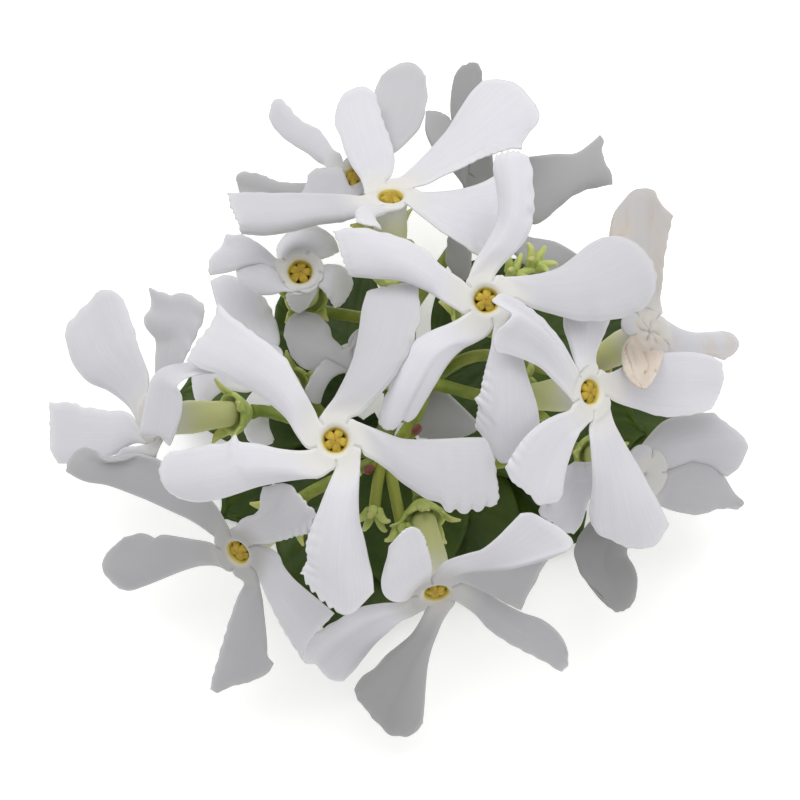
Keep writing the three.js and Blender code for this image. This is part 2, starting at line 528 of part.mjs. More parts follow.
// A leaf: a short stalk, then an oval blade with a raised midrib and gently waved edges. It is flat where
// it touches the surface.
function leaf(name, { from, to, width, heights }, hand) {
  const start = onTable(from, heights[0]);
  const end = onTable(to, heights[2]);
  const low = start.clone().lerp(end, 0.5);
  low.z = 2 * heights[1] - (heights[0] + heights[2]) / 2;
  const curve = new THREE.QuadraticBezierCurve3(start, low, end);
  const across = end.clone().sub(start).setZ(0).normalize().cross(v3(0, 0, 1));
  const grid = [];
  for (let i = 0; i <= LEAF_ROWS; i += 1) {
    const s = i / LEAF_ROWS;
    const point = curve.getPoint(s);
    const open = Math.max((s - LEAF_STALK_SHARE) / (1 - LEAF_STALK_SHARE), 0);
    const oval = Math.sin(Math.PI * open ** LEAF_EARLY) ** LEAF_FULL;
    const half = LEAF_STALK + (width / 2 - LEAF_STALK) * (i === LEAF_ROWS ? 0 : oval);
    grid.push([...Array(LEAF_COLUMNS + 1).keys()].map((j) => {
      const t = (2 * j) / LEAF_COLUMNS - 1;
      const dish = LEAF_DISH * t * t * ((2 * half) / width);
      const wave = LEAF_WAVE * t * t * Math.sin(LEAF_TURNS * Math.PI * s + hand * t);
      return point.clone().addScaledVector(across, t * half).add(v3(0, 0, dish + wave));
    }));
  }
  const geometry = blade(grid, (u) => LEAF + LEAF_RIB * (1 - Math.abs(2 * u - 1)));
  const places = geometry.attributes.position;
  for (let k = 0; k < places.count; k += 1) places.setZ(k, Math.max(places.getZ(k), 0));
  return meshOf(name, solid(geometry), LEAF_GREEN);
}

// ---------------------------------------------------------------------------------------------------------
// The sprig

const frames = BLOOMS.map((bloom, k) => {
  const number = String(k + 1).padStart(2, '0');
  const frame = bloomFrame(bloom);
  frame.add(corolla(`corolla_${number}`, frame, bloom));
  frame.add(anthers(`anthers_${number}`), calyx(`calyx_${number}`));
  return frame;
});
part.add(stem('stem', frames));
LEAVES.forEach((entry, k) => part.add(leaf(`leaf_${k + 1}`, entry, k % 2 ? 1 : -1)));

export default part;
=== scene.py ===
"""A cut sprig of star jasmine, dressed round its solid model: fine blooms, stalks and leaves on a pale
floor. Every piece is a mesh worked out here from the sprig's own measures, and every finish is
procedural. Lengths are in millimetres unless a name says otherwise."""

import math

import bpy
import numpy as np
from mathutils import Matrix, Vector


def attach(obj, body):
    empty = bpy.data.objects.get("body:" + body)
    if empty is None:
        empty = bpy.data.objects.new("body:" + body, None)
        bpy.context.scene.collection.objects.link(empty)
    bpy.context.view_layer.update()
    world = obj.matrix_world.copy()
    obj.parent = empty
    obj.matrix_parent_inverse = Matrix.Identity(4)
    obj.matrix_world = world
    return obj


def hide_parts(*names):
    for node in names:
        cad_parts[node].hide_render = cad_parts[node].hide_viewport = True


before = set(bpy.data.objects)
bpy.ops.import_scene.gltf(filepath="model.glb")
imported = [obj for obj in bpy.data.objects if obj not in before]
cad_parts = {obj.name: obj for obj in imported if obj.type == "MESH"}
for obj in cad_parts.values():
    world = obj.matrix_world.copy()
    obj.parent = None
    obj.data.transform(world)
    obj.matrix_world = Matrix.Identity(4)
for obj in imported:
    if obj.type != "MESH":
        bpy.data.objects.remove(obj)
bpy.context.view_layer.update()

bl_info = {
    "name": "Star jasmine sprig",
    "version": (1, 0, 0),
    "blender": (4, 5, 0),
    "location": "3D View > Sidebar > Jasmine",
    "description": "Builds the fine blooms, stalks and leaves of a star jasmine sprig",
    "category": "Add Mesh",
}

MM = 0.001
BODY = "root"

# ---------------------------------------------------------------------------------------------------
# The sprig's measures

# The head of blooms leans back, so that its own z points up and to the front of the sprig.
LEAN = math.radians(20)
HEAD_ORIGIN = np.array([0.5, -5.7, 22.0])
# Places in the head are given in plan: where they stand when seen from this far over its origin.
SIGHT = 300.0

# Each bloom has its eye's place in plan and height, the bearing and tilt of the way it faces, in
# degrees, the turn of its first slot, and its lobes. A lobe is given by its slot and by the two corners
# of its end, the broad side's and the narrow side's, in plan and with their rise over the eye. Where a
# value is a pair, the broad side's comes first, and one number stands for both. How far a bloom's lobes
# are painted grey, as painted shade where they lie in shade or face away from the light (shade), how
# far an old bloom is browner and crumpled round its eye (wilt) or tan there (tan), and how far its throat
# is drawn shut (shut) go each from 0 to 1. A bloom may have its own radius at which its lobes part (notch).
BLOOMS = [
    dict(at=(-4.8, -3), height=7, bearing=90, tilt=5, turn=66, lobes={
        0: dict(broad=(1.5, 8.4), narrow=(-2.1, 8.1), rise=-1.8, shade=0.35, outline=(
            [(-3, -1.1), (-2.2, -0.3), (-1.3, 0.6), (-0.5, 1.6), (0.3, 2.9), (0.9, 4), (1.2, 5.1),
             (1.5, 5.9), (1.4, 6.7), (1.5, 7.2), (1.35, 7.9), (1.45, 8.9)],
            [(0.8, 8.75), (0, 8.6), (-1, 8.4), (-1.8, 8.25)],
            [(-5.7, -0.9), (-4.9, 0.1), (-4.4, 1), (-3.9, 2), (-3.5, 3), (-3.2, 4.2), (-3, 5.4),
             (-2.8, 6.8), (-2.45, 8)])),
        1: dict(broad=(-13.6, 7.1), narrow=(-14.4, 2.7), rise=-1, ruffle=0.03, outline=(
            [(-6.3, -0.8), (-6.9, 0.3), (-7.4, 1.2), (-7.9, 2.1), (-8.4, 3), (-9.2, 3.7), (-10.2, 4.5),
             (-11.8, 5.7), (-12.8, 6.5), (-13.5, 7.15)],
            [(-13.7, 6.2), (-14.2, 5.3), (-15.1, 4.2)],
            [(-7.1, -3.4), (-7.6, -2.7), (-8.3, -1.5), (-9.2, -0.6), (-10.5, 0.4), (-12, 1.2),
             (-13.3, 1.9), (-14.7, 2.3), (-15.8, 2.9)])),
        2: dict(broad=(-17.4, -3.9), narrow=(-17, -7.1), rise=-1, curl=(-10, -50), ruffle=0.03, outline=(
            [(-7.4, -3.75), (-9, -3.6), (-10.5, -3.25), (-11.9, -3.05), (-12.2, -2.55), (-12.6, -3.05),
             (-14, -3.3), (-15.3, -3.55), (-16.3, -3.75), (-17.1, -3.9)],
            [(-17.7, -4.7), (-17.8, -5.6), (-17.3, -6.6)],
            [(-5.8, -5.7), (-7, -5.8), (-8.5, -6), (-10.5, -6.4), (-12, -6.9), (-13.5, -7.35),
             (-15, -7.55), (-16.4, -7.25)])),
        3: dict(broad=(-7, -13.2), narrow=(-2, -14.1), rise=-1, bulge=0.14, flare=0.75, ruffle=0.07,
                frill=0.04, waves=11.0, ragged=0.05, teeth=0.42, frilled=0.45, outline=(
            [(-5.1, -5.8), (-5.6, -7), (-6.1, -8.3), (-6.6, -9.5), (-6.95, -10.8), (-6.85, -11.8),
             (-7.35, -12.7)],
            [(-6.8, -13.7), (-6.1, -14.5), (-5.3, -15.2), (-4, -15.95), (-3.2, -15.5)],
            [(-2.95, -4.8), (-3.05, -6), (-3.1, -7.5), (-3, -9), (-2.65, -10.3), (-2.35, -11.7),
             (-2.05, -13), (-1.95, -14.2)])),
        4: dict(broad=(7.2, -8), narrow=(7.2, -3), rise=-1, shade=0.3, ruffle=0.06, frill=0, waves=15.0,
                frilled=0.5, outline=(
            [(-2.7, -4.05), (-1.9, -4.5), (-0.9, -5.2), (0, -6), (1, -6.7), (2, -7.35), (3, -7.65),
             (3.35, -8.2), (3.75, -8.35), (4.1, -8.05), (4.5, -8.4), (4.95, -8.4), (5.3, -8.05),
             (5.7, -8.3), (6.1, -8.15), (6.3, -7.85), (6.7, -7.95), (7.2, -7.7)],
            [(7.3, -7), (7.2, -6), (7.05, -4.8), (6.85, -3.8)],
            [(-3, -1.65), (-2, -2.1), (-1, -2.5), (0, -2.85), (1, -2.95), (3, -2.9), (5, -2.8),
             (6.3, -2.8)])),
    }),
    dict(at=(6.4, 7.4), height=5, bearing=45, tilt=10, turn=8, lobes={
        0: dict(broad=(18.7, 6.8), narrow=(17.8, 11.9), rise=-1, shade=0.25, bulge=0.12, outline=(
            [(8.4, 7.5), (9.8, 6.8), (11.5, 6.3), (13, 5.9), (14.6, 5.8), (16.5, 6.1), (18.3, 6.9)],
            [(18.9, 8.2), (18.9, 9.6), (18.3, 10.8), (17.3, 11.7), (16.2, 12.1)],
            [(7.4, 9.1), (9, 9.1), (10.5, 9.35), (11.8, 9.8), (12.9, 10.6), (14, 11.5), (15, 12)])),
        1: dict(broad=(9.4, 17.9), narrow=(7.2, 18), rise=1, curl=(-10, -60), belly=0.4, ruffle=0.14,
                frill=0.05, outline=(
            [(7.1, 9.3), (7.6, 10), (8.4, 10.8), (9.2, 11.7), (9.6, 12.5), (9.9, 14), (9.85, 16),
             (9.7, 17.5), (9.4, 18.1)],
            [(8.5, 18.45), (7.7, 18.3)],
            [(5.2, 9.4), (5.6, 10.3), (6.4, 11.6), (7.1, 13), (7.3, 14.5), (7.1, 16), (6.9, 17.2),
             (7.1, 18.1)])),
        2: dict(broad=(-3.7, 12.7), narrow=(-3.4, 8.7), rise=-0.8, bulge=0.04, ruffle=0.04, outline=(
            [(4.8, 8.75), (4, 9.3), (3, 10), (2, 11), (1, 11.6), (0, 12.05), (-1.5, 12.45),
             (-2.6, 12.7), (-3.7, 12.75), (-4.9, 12.5)],
            [(-4.6, 11.6), (-4.25, 10.6), (-4.05, 9.8)],
            [(4.5, 6.5), (3.5, 7.1), (2.5, 7.8), (1.4, 8.35), (0, 8.85), (-1.8, 9), (-3.6, 9.15)])),
        3: dict(broad=(-1.4, -1.2), narrow=(0.9, -1.5), rise=-1, curl=(-30, -70), ruffle=0.03, outline=(
            [(4.3, 6), (3.5, 5.6), (2.5, 5.2), (1.7, 4.8), (1, 4.3), (0.5, 3.5), (0, 2.5), (-0.5, 1.5),
             (-0.9, 0.6), (-1.3, -0.4), (-1.55, -1.3)],
            [(-1.5, -1.8), (-1, -2.2), (-0.4, -2.15), (0.1, -1.55), (0.6, -1.6)],
            [(6.6, 4.9), (5.8, 4.4), (5, 4), (4.2, 3.4), (3.5, 2.6), (3, 1.8), (2.4, 0.8), (1.8, -0.2),
             (1.2, -1.2)])),
        4: dict(broad=(6.5, -4.1), narrow=(10.1, -3), rise=-2.4, ruffle=0.06, frill=0.04, waves=12.0,
                outline=(
            [(6.85, 4.9), (6.7, 3.8), (6.4, 2.6), (6.1, 1.4), (5.9, 0.45), (5.55, 0.1), (5.8, -0.35),
             (5.7, -1.1), (5.6, -2)],
            [(6.1, -2.7), (6.7, -3.5), (7.3, -4.5), (8.1, -4.7), (9.3, -4)],
            [(7.8, 5.1), (8.5, 4.3), (9, 3.3), (9.4, 1.9), (9.8, 0.7), (10.2, -0.7), (10.4, -2.6)])),
    }),
    dict(at=(-0.7, 15.1), height=-4, bearing=90, tilt=52, turn=40, lobes={
        0: dict(broad=(9.2, 18.8), narrow=(8, 23.7), rise=(1.2, 3.4), bulge=0.16, ruffle=0.09,
                frill=0.04, waves=11.0, outline=(
            [(0.9, 15.7), (2, 16), (3.2, 16.6), (4.6, 17.2), (6, 17.9), (7.2, 18.3), (8.2, 18.6),
             (9, 18.6)],
            [(9.2, 19.2), (9.6, 19.8), (10.2, 20.5), (10.3, 21.3), (9.8, 22.2), (9, 23.1), (8, 23.65),
             (7.2, 23.75)],
            [(-0.2, 16.3), (0.8, 17.1), (2.2, 18.5), (3.5, 20), (4.3, 21.3), (5.3, 22.8), (6.1, 23.6)])),
        1: dict(broad=(-1.6, 22.4), narrow=(-4.4, 22.1), rise=0.8, bulge=0.08, ruffle=0.03, outline=(
            [(-0.6, 16.7), (-0.4, 17.5), (-0.5, 18.5), (-0.8, 19.5), (-1.2, 20.5), (-1.5, 21.5),
             (-1.8, 22.6)],
            [(-2.5, 23.15), (-3.3, 23.1), (-4.1, 22.7)],
            [(-2.9, 16.3), (-3.5, 17.2), (-4.1, 18.4), (-4.4, 19.4), (-4.8, 20.3), (-4.8, 21),
             (-4.6, 21.9)])),
        2: dict(broad=(-12.6, 15.4), narrow=(-11.6, 12), rise=0.6, shade=0.3, curl=(-10, -60),
                arch=0.2, ruffle=0.03, outline=(
            [(-2.6, 15.1), (-4, 15.2), (-7, 15.3), (-9.5, 15.3), (-11.2, 15.35), (-12.7, 15.3)],
            [(-12.6, 14.5), (-12.2, 13.6), (-11.9, 12.9)],
            [(-2.7, 13.7), (-4.5, 13.2), (-6, 13), (-8, 12.5), (-10, 12.2), (-11.8, 12.3)])),
        3: dict(broad=(-3.1, 13.2), narrow=(-1.3, 12.9), rise=2.4, swing=-15),
        4: dict(broad=(5.8, 10.8), narrow=(7.4, 17.2), rise=(-1.8, 1.8), outline=(
            [(1, 14.1), (2, 13.3), (3, 12.5), (4, 11.9), (5, 11.2), (6.2, 10.4)],
            [(7.3, 12), (7.8, 14.5)],
            [(1.6, 15.4), (3, 15.4), (4.5, 15.6), (6, 16.05), (7.4, 16.8)])),
    }),
    dict(at=(14.1, 0.6), height=2, bearing=5, tilt=42, turn=0, lobes={
        0: dict(broad=(22.8, -1), narrow=(23.4, 3.5), rise=1, bulge=0.12, ruffle=0.03, outline=(
            [(15.6, 0.05), (16.5, -0.35), (17.8, -0.75), (19, -1.15), (20.3, -1.25), (21.8, -1.05),
             (23.1, -0.7)],
            [(23.6, 0.4), (23.95, 1.6)],
            [(15.4, 2), (16.8, 2.6), (18.3, 3.2), (19.8, 3.5), (21.5, 3.55), (22.9, 3.3), (23.8, 2.8)])),
        1: dict(broad=(15.7, 7.9), narrow=(12.6, 7.6), rise=-0.5, outline=(
            [(14.6, 2.3), (14.5, 3.3), (14.9, 4.4), (15.4, 5.6), (15.9, 7.9)],
            [(14.8, 8.3), (13.3, 8.2)],
            [(13.3, 1.9), (12.9, 2.9), (12.5, 4.2), (12.1, 5.5), (12.3, 7.6)])),
        2: dict(broad=(7.6, 7.6), narrow=(8.1, 4.1), rise=1.4, ruffle=0.03, outline=(
            [(13.3, 1.9), (12.8, 2.9), (12, 4.3), (11.4, 5.1), (10.6, 6), (9.8, 6.7), (8.9, 7.3),
             (8.1, 7.75), (7.3, 7.85)],
            [(6.85, 7.4), (7.6, 6.85), (8.3, 6.3), (7.8, 5.6), (7.1, 5), (6.9, 4.3)],
            [(12.8, -0.1), (12.1, 0.7), (11.3, 1.5), (10.5, 2.3), (9.6, 2.8), (8.3, 3.3), (7.1, 3.55)])),
        3: dict(broad=(9.2, -6.5), narrow=(12.1, -7.6), rise=0.5, bulge=0.03, belly=(0.6, 0),
                ruffle=0.09, frill=0.04, waves=11.0, frilled=0.5, outline=(
            [(12.6, -0.7), (11.6, -1.1), (10.6, -1.6), (9.6, -2.4), (8.9, -3.2), (8.3, -4.1), (7.8, -5)],
            [(8.1, -5.7), (8.6, -6.3), (9, -6.6), (9.7, -7.1), (10.1, -7.7), (10.9, -7.7), (11.6, -7.5)],
            [(14.1, -1.6), (13.5, -2.2), (13, -3), (12.6, -4.1), (12.3, -5.1), (12.1, -6.2),
             (12, -7.1)])),
        4: dict(broad=(14.8, -10.4), narrow=(19.9, -9.6), rise=(-1.8, 0.2), ruffle=0.09, frill=0.03,
                waves=11.0, frilled=0.6, outline=(
            [(14.05, -1.9), (14.1, -3.2), (14.2, -4.8), (14.25, -6.2), (14.1, -7.4), (14, -8.3),
             (14.2, -9.2)],
            [(14.8, -10), (15.8, -10.4), (16.6, -10.85), (17.8, -11), (18.9, -10.75)],
            [(15.5, -0.4), (15.8, -1.6), (16.4, -2.8), (17.1, -4), (17.8, -5.2), (18.5, -6.5),
             (19.1, -7.5), (19.9, -9.2)])),
    }),
    dict(at=(-3.5, 16.6), height=-9.5, bearing=120, tilt=45, turn=60, shade=0.45, lobes={
        0: dict(broad=(1.9, 24.2), narrow=(-1.8, 24.4), rise=-3, bulge=0.17, flare=0.5, outline=(
            [(-2, 17.6), (-0.6, 18.2), (0.6, 19.2), (1.5, 20.3), (1.85, 21.5), (2, 22.7), (1.85, 24)],
            [(1.5, 24.6), (0.9, 24.95), (0.2, 24.95), (-0.6, 24.6)],
            [(-3, 17.9), (-2.6, 19.2), (-2.3, 20.6), (-2.1, 22), (-1.8, 23.1), (-1.4, 24)])),
        1: dict(broad=(-8.4, 22.1), narrow=(-9.6, 20.8), rise=0, shade=0.2, bulge=0.05, outline=(
            [(-4.4, 18.2), (-4.9, 18.5), (-5.5, 19.4), (-6.1, 20.1), (-6.9, 20.45), (-7.6, 20.95),
             (-8.2, 21.7), (-8.8, 22.3)],
            [(-9.3, 22.2), (-9.6, 21.5), (-9.65, 20.9)],
            [(-5.3, 17.2), (-6, 17.6), (-6.8, 18.25), (-7.8, 18.85), (-8.7, 19.5), (-9.4, 20.3)])),
        2: dict(broad=(-11.9, 16.9), narrow=(-12.1, 14.8), rise=-1, shade=0.75, outline=(
            [(-5.5, 16.2), (-6.9, 16.05), (-8.2, 16.05), (-9.3, 16.25), (-10.2, 16.65), (-11.6, 16.9)],
            [(-12.1, 16.6), (-12, 15.9)],
            [(-5.5, 15.3), (-7.5, 15), (-9.8, 14.8), (-11.8, 15)])),
        3: dict(broad=(-6.9, 16.6), narrow=(-6.5, 13.9), rise=1, swing=-15, arch=0.8, outline=(
            [(-4.3, 17.15), (-5.2, 17.2), (-6.3, 17.1)],
            [(-6.8, 16.6), (-7, 15.8), (-7.6, 15), (-7.7, 14.6), (-7, 14.2)],
            [(-3.3, 14.4), (-3.6, 13.6), (-4.3, 13.15), (-5.2, 13.3), (-6, 14)])),
    }),
    dict(at=(6.7, 15.9), height=-12, bearing=60, tilt=20, turn=20, shut=1.0, shade=0.8, lobes={
        0: dict(broad=(15.8, 15.9), narrow=(15, 19.5), rise=-1, bulge=-0.1, outline=(
            [(8.5, 13.7), (10, 13), (11, 13.6), (12, 14.5), (13.2, 15.35), (14.5, 15.75),
             (15.75, 15.95)],
            [(15.65, 16.7), (15.2, 17.6), (14.95, 18.5), (15.1, 19.2)],
            [(8, 17.8), (9.6, 18), (11.5, 18.2), (13, 18.25), (13.9, 18.8), (14.85, 19.6)])),
        1: dict(broad=(6.1, 24.4), narrow=(3.8, 24), rise=-1, shade=1.0, bulge=0.12, outline=(
            [(6.8, 18.5), (6.5, 20.5), (6.2, 22.5), (6.05, 24.3)],
            [(5.7, 24.95), (5, 24.9), (4.4, 24.55)],
            [(5, 18), (4, 20), (3.75, 21.3), (3.8, 22.8), (4, 23.9)])),
        2: dict(broad=(3.5, 21), narrow=(1.9, 21.3), rise=0, swing=-25, outline=(
            [(5, 18.3), (4.2, 19.8), (3.65, 20.9)], [(3.2, 21.2), (2.6, 21.4)],
            [(4.2, 16.6), (2.7, 18.2), (1.9, 19.8), (1.9, 21.4)])),
        3: dict(broad=(3.3, 10.2), narrow=(5.3, 8.8), rise=0),
        4: dict(broad=(11, 9.2), narrow=(12.9, 11), rise=0, outline=(
            [(7.3, 13), (8.3, 11), (9.5, 9.8), (11.5, 9.2)], [(12.6, 9.9)],
            [(8.6, 13), (9.5, 12.1), (10.5, 11.9), (11.5, 11.7), (12.3, 11.3), (13.1, 10.8)])),
    }),
    dict(at=(-7.4, 9.5), height=-7, bearing=100, tilt=15, turn=80, notch=1.4, lobes={
        0: dict(broad=(-4.2, 11.9), narrow=(-9.1, 12.8), rise=-3, bulge=0.25, flare=0.5, neck=1.1,
                outline=(
            [(-6.2, 10.4), (-5.3, 10.6), (-4.5, 11)],
            [(-4.9, 12), (-5.5, 12.5), (-6.3, 12.9), (-7.1, 13), (-7.9, 12.7), (-8.6, 12.1),
             (-9.05, 11.4)],
            [(-8.5, 10.2), (-9.1, 10.6)])),
        1: dict(broad=(-12.7, 12.1), narrow=(-14.1, 9.8), rise=-0.8, swing=-8, flare=0.8, outline=(
            [(-8.9, 10.3), (-10.2, 11.4), (-11.6, 12.2), (-12.9, 12.25)],
            [(-13.2, 11.4), (-13.9, 10.7), (-14.15, 10.1)],
            [(-9.6, 9.9), (-11, 10), (-12.5, 9.5), (-14.1, 9.2)])),
        2: dict(broad=(-12, 10.5), narrow=(-10.5, 7.6), rise=-0.5, swing=-25, flare=0.45, outline=(
            [(-9.2, 9.6), (-9.9, 10), (-11, 10.3)], [(-12, 9.9), (-12.1, 9.3)],
            [(-8.7, 8), (-9.6, 7.8), (-10.6, 7.9), (-11.6, 8.8)])),
        3: dict(broad=(-8.1, 6.6), narrow=(-6.3, 6.4), rise=-3, swing=-14, bulge=0.12, arch=0.2,
                outline=([(-8.4, 7.8), (-8.3, 7.2), (-8, 6.7)], [(-7.5, 6.5)],
                         [(-6.2, 8), (-6.5, 7.4), (-6.9, 6.8)])),
        4: dict(broad=(-4.9, 6.7), narrow=(-3.5, 9.4), rise=-2.5, swing=-25, bulge=0.1, arch=0.2,
                outline=([(-6.1, 8.5), (-5.7, 8.1), (-5.2, 7.4), (-4.8, 6.8)],
                         [(-4.3, 7.1), (-3.8, 7.8), (-3.5, 8.6)],
                         [(-6.1, 10), (-5.2, 10.05), (-4.3, 9.9), (-3.7, 9.2)])),
    }),
    dict(at=(18.4, 5), height=-5.5, bearing=30, tilt=40, turn=-10, wilt=1.0, shut=1.0, shade=0.2,
         tan=0.35, lobes={
        0: dict(broad=(24.3, 2.9), narrow=(24.2, 5.2), rise=-2, shade=0.25, bulge=0.15, outline=(
            [(19.9, 3.4), (21, 3.4), (22.6, 3.3), (24.1, 3)], [(24.8, 3.5), (25.1, 4.2), (24.6, 4.9)],
            [(19.8, 5.8), (20.5, 5.3), (21.4, 4.95), (22.7, 4.95), (23.8, 5.1)])),
        1: dict(broad=(20.1, 14.1), narrow=(15.8, 13.9), rise=0, shade=0.6, tan=0.2, swing=38,
                bulge=0.14, flare=0.5, outline=(
            [(19.4, 6.3), (19.25, 7.5), (19.4, 8.6), (19.5, 10), (19.75, 11.6), (20, 12.8),
             (20.2, 13.6)],
            [(19.6, 14.2), (19.1, 14.9), (18.8, 15.5), (18.2, 15.65), (17.2, 15.5), (16.7, 14.9),
             (16, 14.1)],
            [(17.2, 6), (16.6, 8), (15.9, 10), (15.5, 12), (15.65, 13.3)])),
        3: dict(broad=(16.9, 1.6), narrow=(18.5, 1.5), rise=6.2, swing=20, shade=0.0,
                pleated=0.5, tan=1.0, ragged=0.2, outline=(
            [(16.5, 3.9), (16.4, 3), (16.6, 2.2), (17, 1.5), (17.6, 1)], [(18.1, 0.85)],
            [(19.5, 3.6), (19.3, 2.7), (19, 1.9), (18.6, 1.2)])),
    }),
    dict(at=(18.2, -5.5), height=-6.5, bearing=-20, tilt=35, turn=12, shut=1.0, shade=0.3, lobes={
        0: dict(broad=(24.2, -5.7), narrow=(24.2, -0.7), rise=0.5, swing=8, bulge=0.14,
                flare=(0.62, 0.35), outline=(
            [(18.9, -5.2), (20, -5.2), (21.5, -5), (23, -5.3), (24.2, -5.65)],
            [(25, -5.1), (25.5, -4.2), (25.75, -3.4), (25.3, -2.6), (24.4, -1.9)],
            [(17.6, -3.9), (18.4, -2.7), (19.5, -1.6), (20.8, -1.15), (22, -1), (23.2, -0.95)])),
        2: dict(broad=(10.8, -7.8), narrow=(13.5, -9.7), rise=0, shade=0.0, swing=15, flare=0.45, ruffle=0.2,
                frill=0.06, waves=8.0, outline=(
            [(16.4, -5), (15, -4.6), (13.8, -4.6), (12.7, -4.7), (12.1, -5.6), (12, -6.6), (11.5, -7.3),
             (10.5, -7.7)],
            [(10.3, -8.4), (11.3, -9.1), (12.2, -9.8)],
            [(16.6, -7), (15.4, -7.3), (14.1, -7.3), (13.7, -8.3), (13.4, -9.2), (12.9, -9.85)])),
        3: dict(broad=(14.4, -15.3), narrow=(17.4, -14.8), rise=0, shade=1.0, swing=20, bulge=0.1,
                belly=(0.7, 0.2), outline=(
            [(16.4, -7.2), (14.8, -8.3), (13.6, -9.6), (12.95, -10.9), (13.1, -12.2), (13.7, -13.3),
             (14.5, -14.2), (15.2, -14.9)],
            [(15.6, -15.45), (16.2, -15.7), (16.9, -15.4), (17.35, -14.8)],
            [(18, -7.5), (17.6, -9), (17, -10.4), (16.8, -11.4), (17.3, -12.3), (17.55, -13.1),
             (17.5, -14)])),
        4: dict(broad=(24, -8.1), narrow=(25, -6.5), rise=-0.6, shade=0.6, swing=25, bulge=0.04,
                belly=(0.6, 0.2), outline=(
            [(18.4, -7.2), (19.5, -7.95), (20.8, -8.35), (22.1, -8.5), (23.5, -8.1), (25.1, -8.05)],
            [(25.45, -7.7)],
            [(19, -5.5), (20, -5.1), (20.8, -4.6), (21.7, -4.1), (22.7, -4.1), (23.5, -4.9),
             (24.1, -5.8), (24.7, -6.9), (25.3, -7.35)])),
    }),
    dict(at=(2.7, -14.3), height=0, bearing=-80, tilt=52, turn=45, shade=0.55, lobes={
        0: dict(broad=(9.6, -15.3), narrow=(10.6, -8.4), rise=(3.2, -0.4), shade=(0.65, 0.0), bulge=0.22,
                fold=-20, curl=(-10, 30), outline=(
            [(4.6, -13.5), (5.6, -13.9), (6.8, -14.5), (8, -15.1), (9, -15.55)],
            [(9.3, -14.8), (9.8, -13.9), (10.5, -12.6), (11.2, -11.6), (12.4, -11.2), (12.8, -10.5),
             (12, -9.6), (10.5, -8.7), (9.7, -8.35)],
            [(3.2, -12.1), (4.5, -11.6), (5.9, -11.2), (7, -10.4), (8, -9.4), (8.9, -8.45)])),
        1: dict(broad=(2.2, -10.1), narrow=(-1, -11), rise=3, shade=0.0, bulge=0.08, flare=0.4,
                belly=(0, 0.9), ruffle=0.12, frill=0.05, waves=8.0, ragged=0.1, outline=(
            [(2.3, -13.2), (2.35, -12.2), (2.05, -11), (1.7, -10), (1.3, -9.5)],
            [(0.8, -9.45), (0.3, -9.7), (-0.2, -10.2)],
            [(0.5, -14.8), (-0.5, -14.9), (-1.2, -14.4), (-1.4, -13.6), (-1.2, -12.5), (-0.95, -11.6),
             (-0.8, -10.8)])),
        2: dict(broad=(-7.3, -18.8), narrow=(-3.6, -20.4), rise=-1.2, shade=0.0, swing=12, outline=(
            [(0.4, -14.9), (-1.5, -15.1), (-3, -15.4), (-4.4, -16.2), (-5.6, -16.9), (-6.6, -17.6),
             (-7.25, -18.6)],
            [(-7.1, -19.4), (-6.2, -19.6), (-5.7, -20.2), (-5, -20.75)],
            [(1, -15.95), (0.2, -16.3), (-0.8, -17.1), (-1.8, -18), (-2.7, -19.1), (-3.4, -20),
             (-4.2, -20.8)])),
        3: dict(broad=(-3, -21.6), narrow=(1.6, -24.7), rise=3, shade=0.9, bulge=0.1, flare=(0.85, 1),
                ruffle=0.12, waves=8.0, frilled=0.55, outline=(
            [(1.6, -16.2), (0.9, -17.3), (0, -18.1), (-1, -18.9), (-1.9, -19.9), (-2.8, -20.5),
             (-3.4, -21.4)],
            [(-3.2, -22.1), (-2.6, -22.8), (-2, -23.6), (-1.3, -24.3), (-0.6, -24.85), (0.4, -24.9),
             (1.2, -24.55)],
            [(3.2, -16), (2.7, -17.1), (2.3, -18.2), (2, -19.8), (1.85, -21.4), (1.75, -22.9),
             (1.65, -23.9)])),
        4: dict(broad=(11.9, -20.1), narrow=(12.7, -18.2), rise=1.5, outline=(
            [(4.5, -15.1), (5.6, -15.9), (6.5, -16.9), (7.6, -17.7), (9, -18.5), (10.6, -19.3),
             (11.9, -20.1)],
            [(12.4, -19.7)],
            [(5.2, -13.3), (6.5, -14.3), (7.8, -15.1), (9.2, -15.8), (10.4, -16.2), (11.4, -16.9),
             (12.1, -17.8), (12.4, -18.8)])),
    }),
    dict(at=(-12, -11.3), height=-1, bearing=-140, tilt=42, turn=40, shade=0.65, lobes={
        0: dict(broad=(-6.4, -9.6), narrow=(-9.8, -7), rise=2, shade=0.35, bulge=0.06, ruffle=0.16,
                frill=0.06, waves=8.0, ragged=0.15, teeth=0.22, outline=(
            [(-10.8, -10.7), (-9.6, -10.6), (-8.4, -10.3), (-7.6, -10.05), (-6.9, -9.9), (-6.4, -9.2)],
            [(-6.3, -8.4), (-6.9, -7.7), (-7.6, -6.9), (-8.4, -6.2), (-9.3, -6.3)],
            [(-12.3, -9.5), (-11.7, -8.85), (-11, -8.65), (-10.4, -8), (-10.35, -7.1),
             (-10.2, -6.5)])),
        1: dict(broad=(-22.2, -3.6), narrow=(-24, -5.8), rise=1, swing=22, outline=(
            [(-12.8, -9.3), (-13.6, -7.9), (-14.8, -6.6), (-16.4, -5.4), (-18, -4.4), (-19.3, -4.1),
             (-20.5, -4.45), (-21.6, -4.5), (-22.5, -3.75)],
            [(-23.4, -3.5), (-24, -3.8), (-24.6, -4.6)],
            [(-13.5, -10.4), (-14.3, -9.7), (-15.5, -8.9), (-17, -8.2), (-18.5, -7.5), (-20, -6.9),
             (-21.7, -6.3), (-23.4, -6), (-24.7, -5.3)])),
        2: dict(broad=(-20.6, -10.2), narrow=(-21.3, -13.9), rise=0.5, swing=8, bulge=0.1, ruffle=0.03,
                outline=(
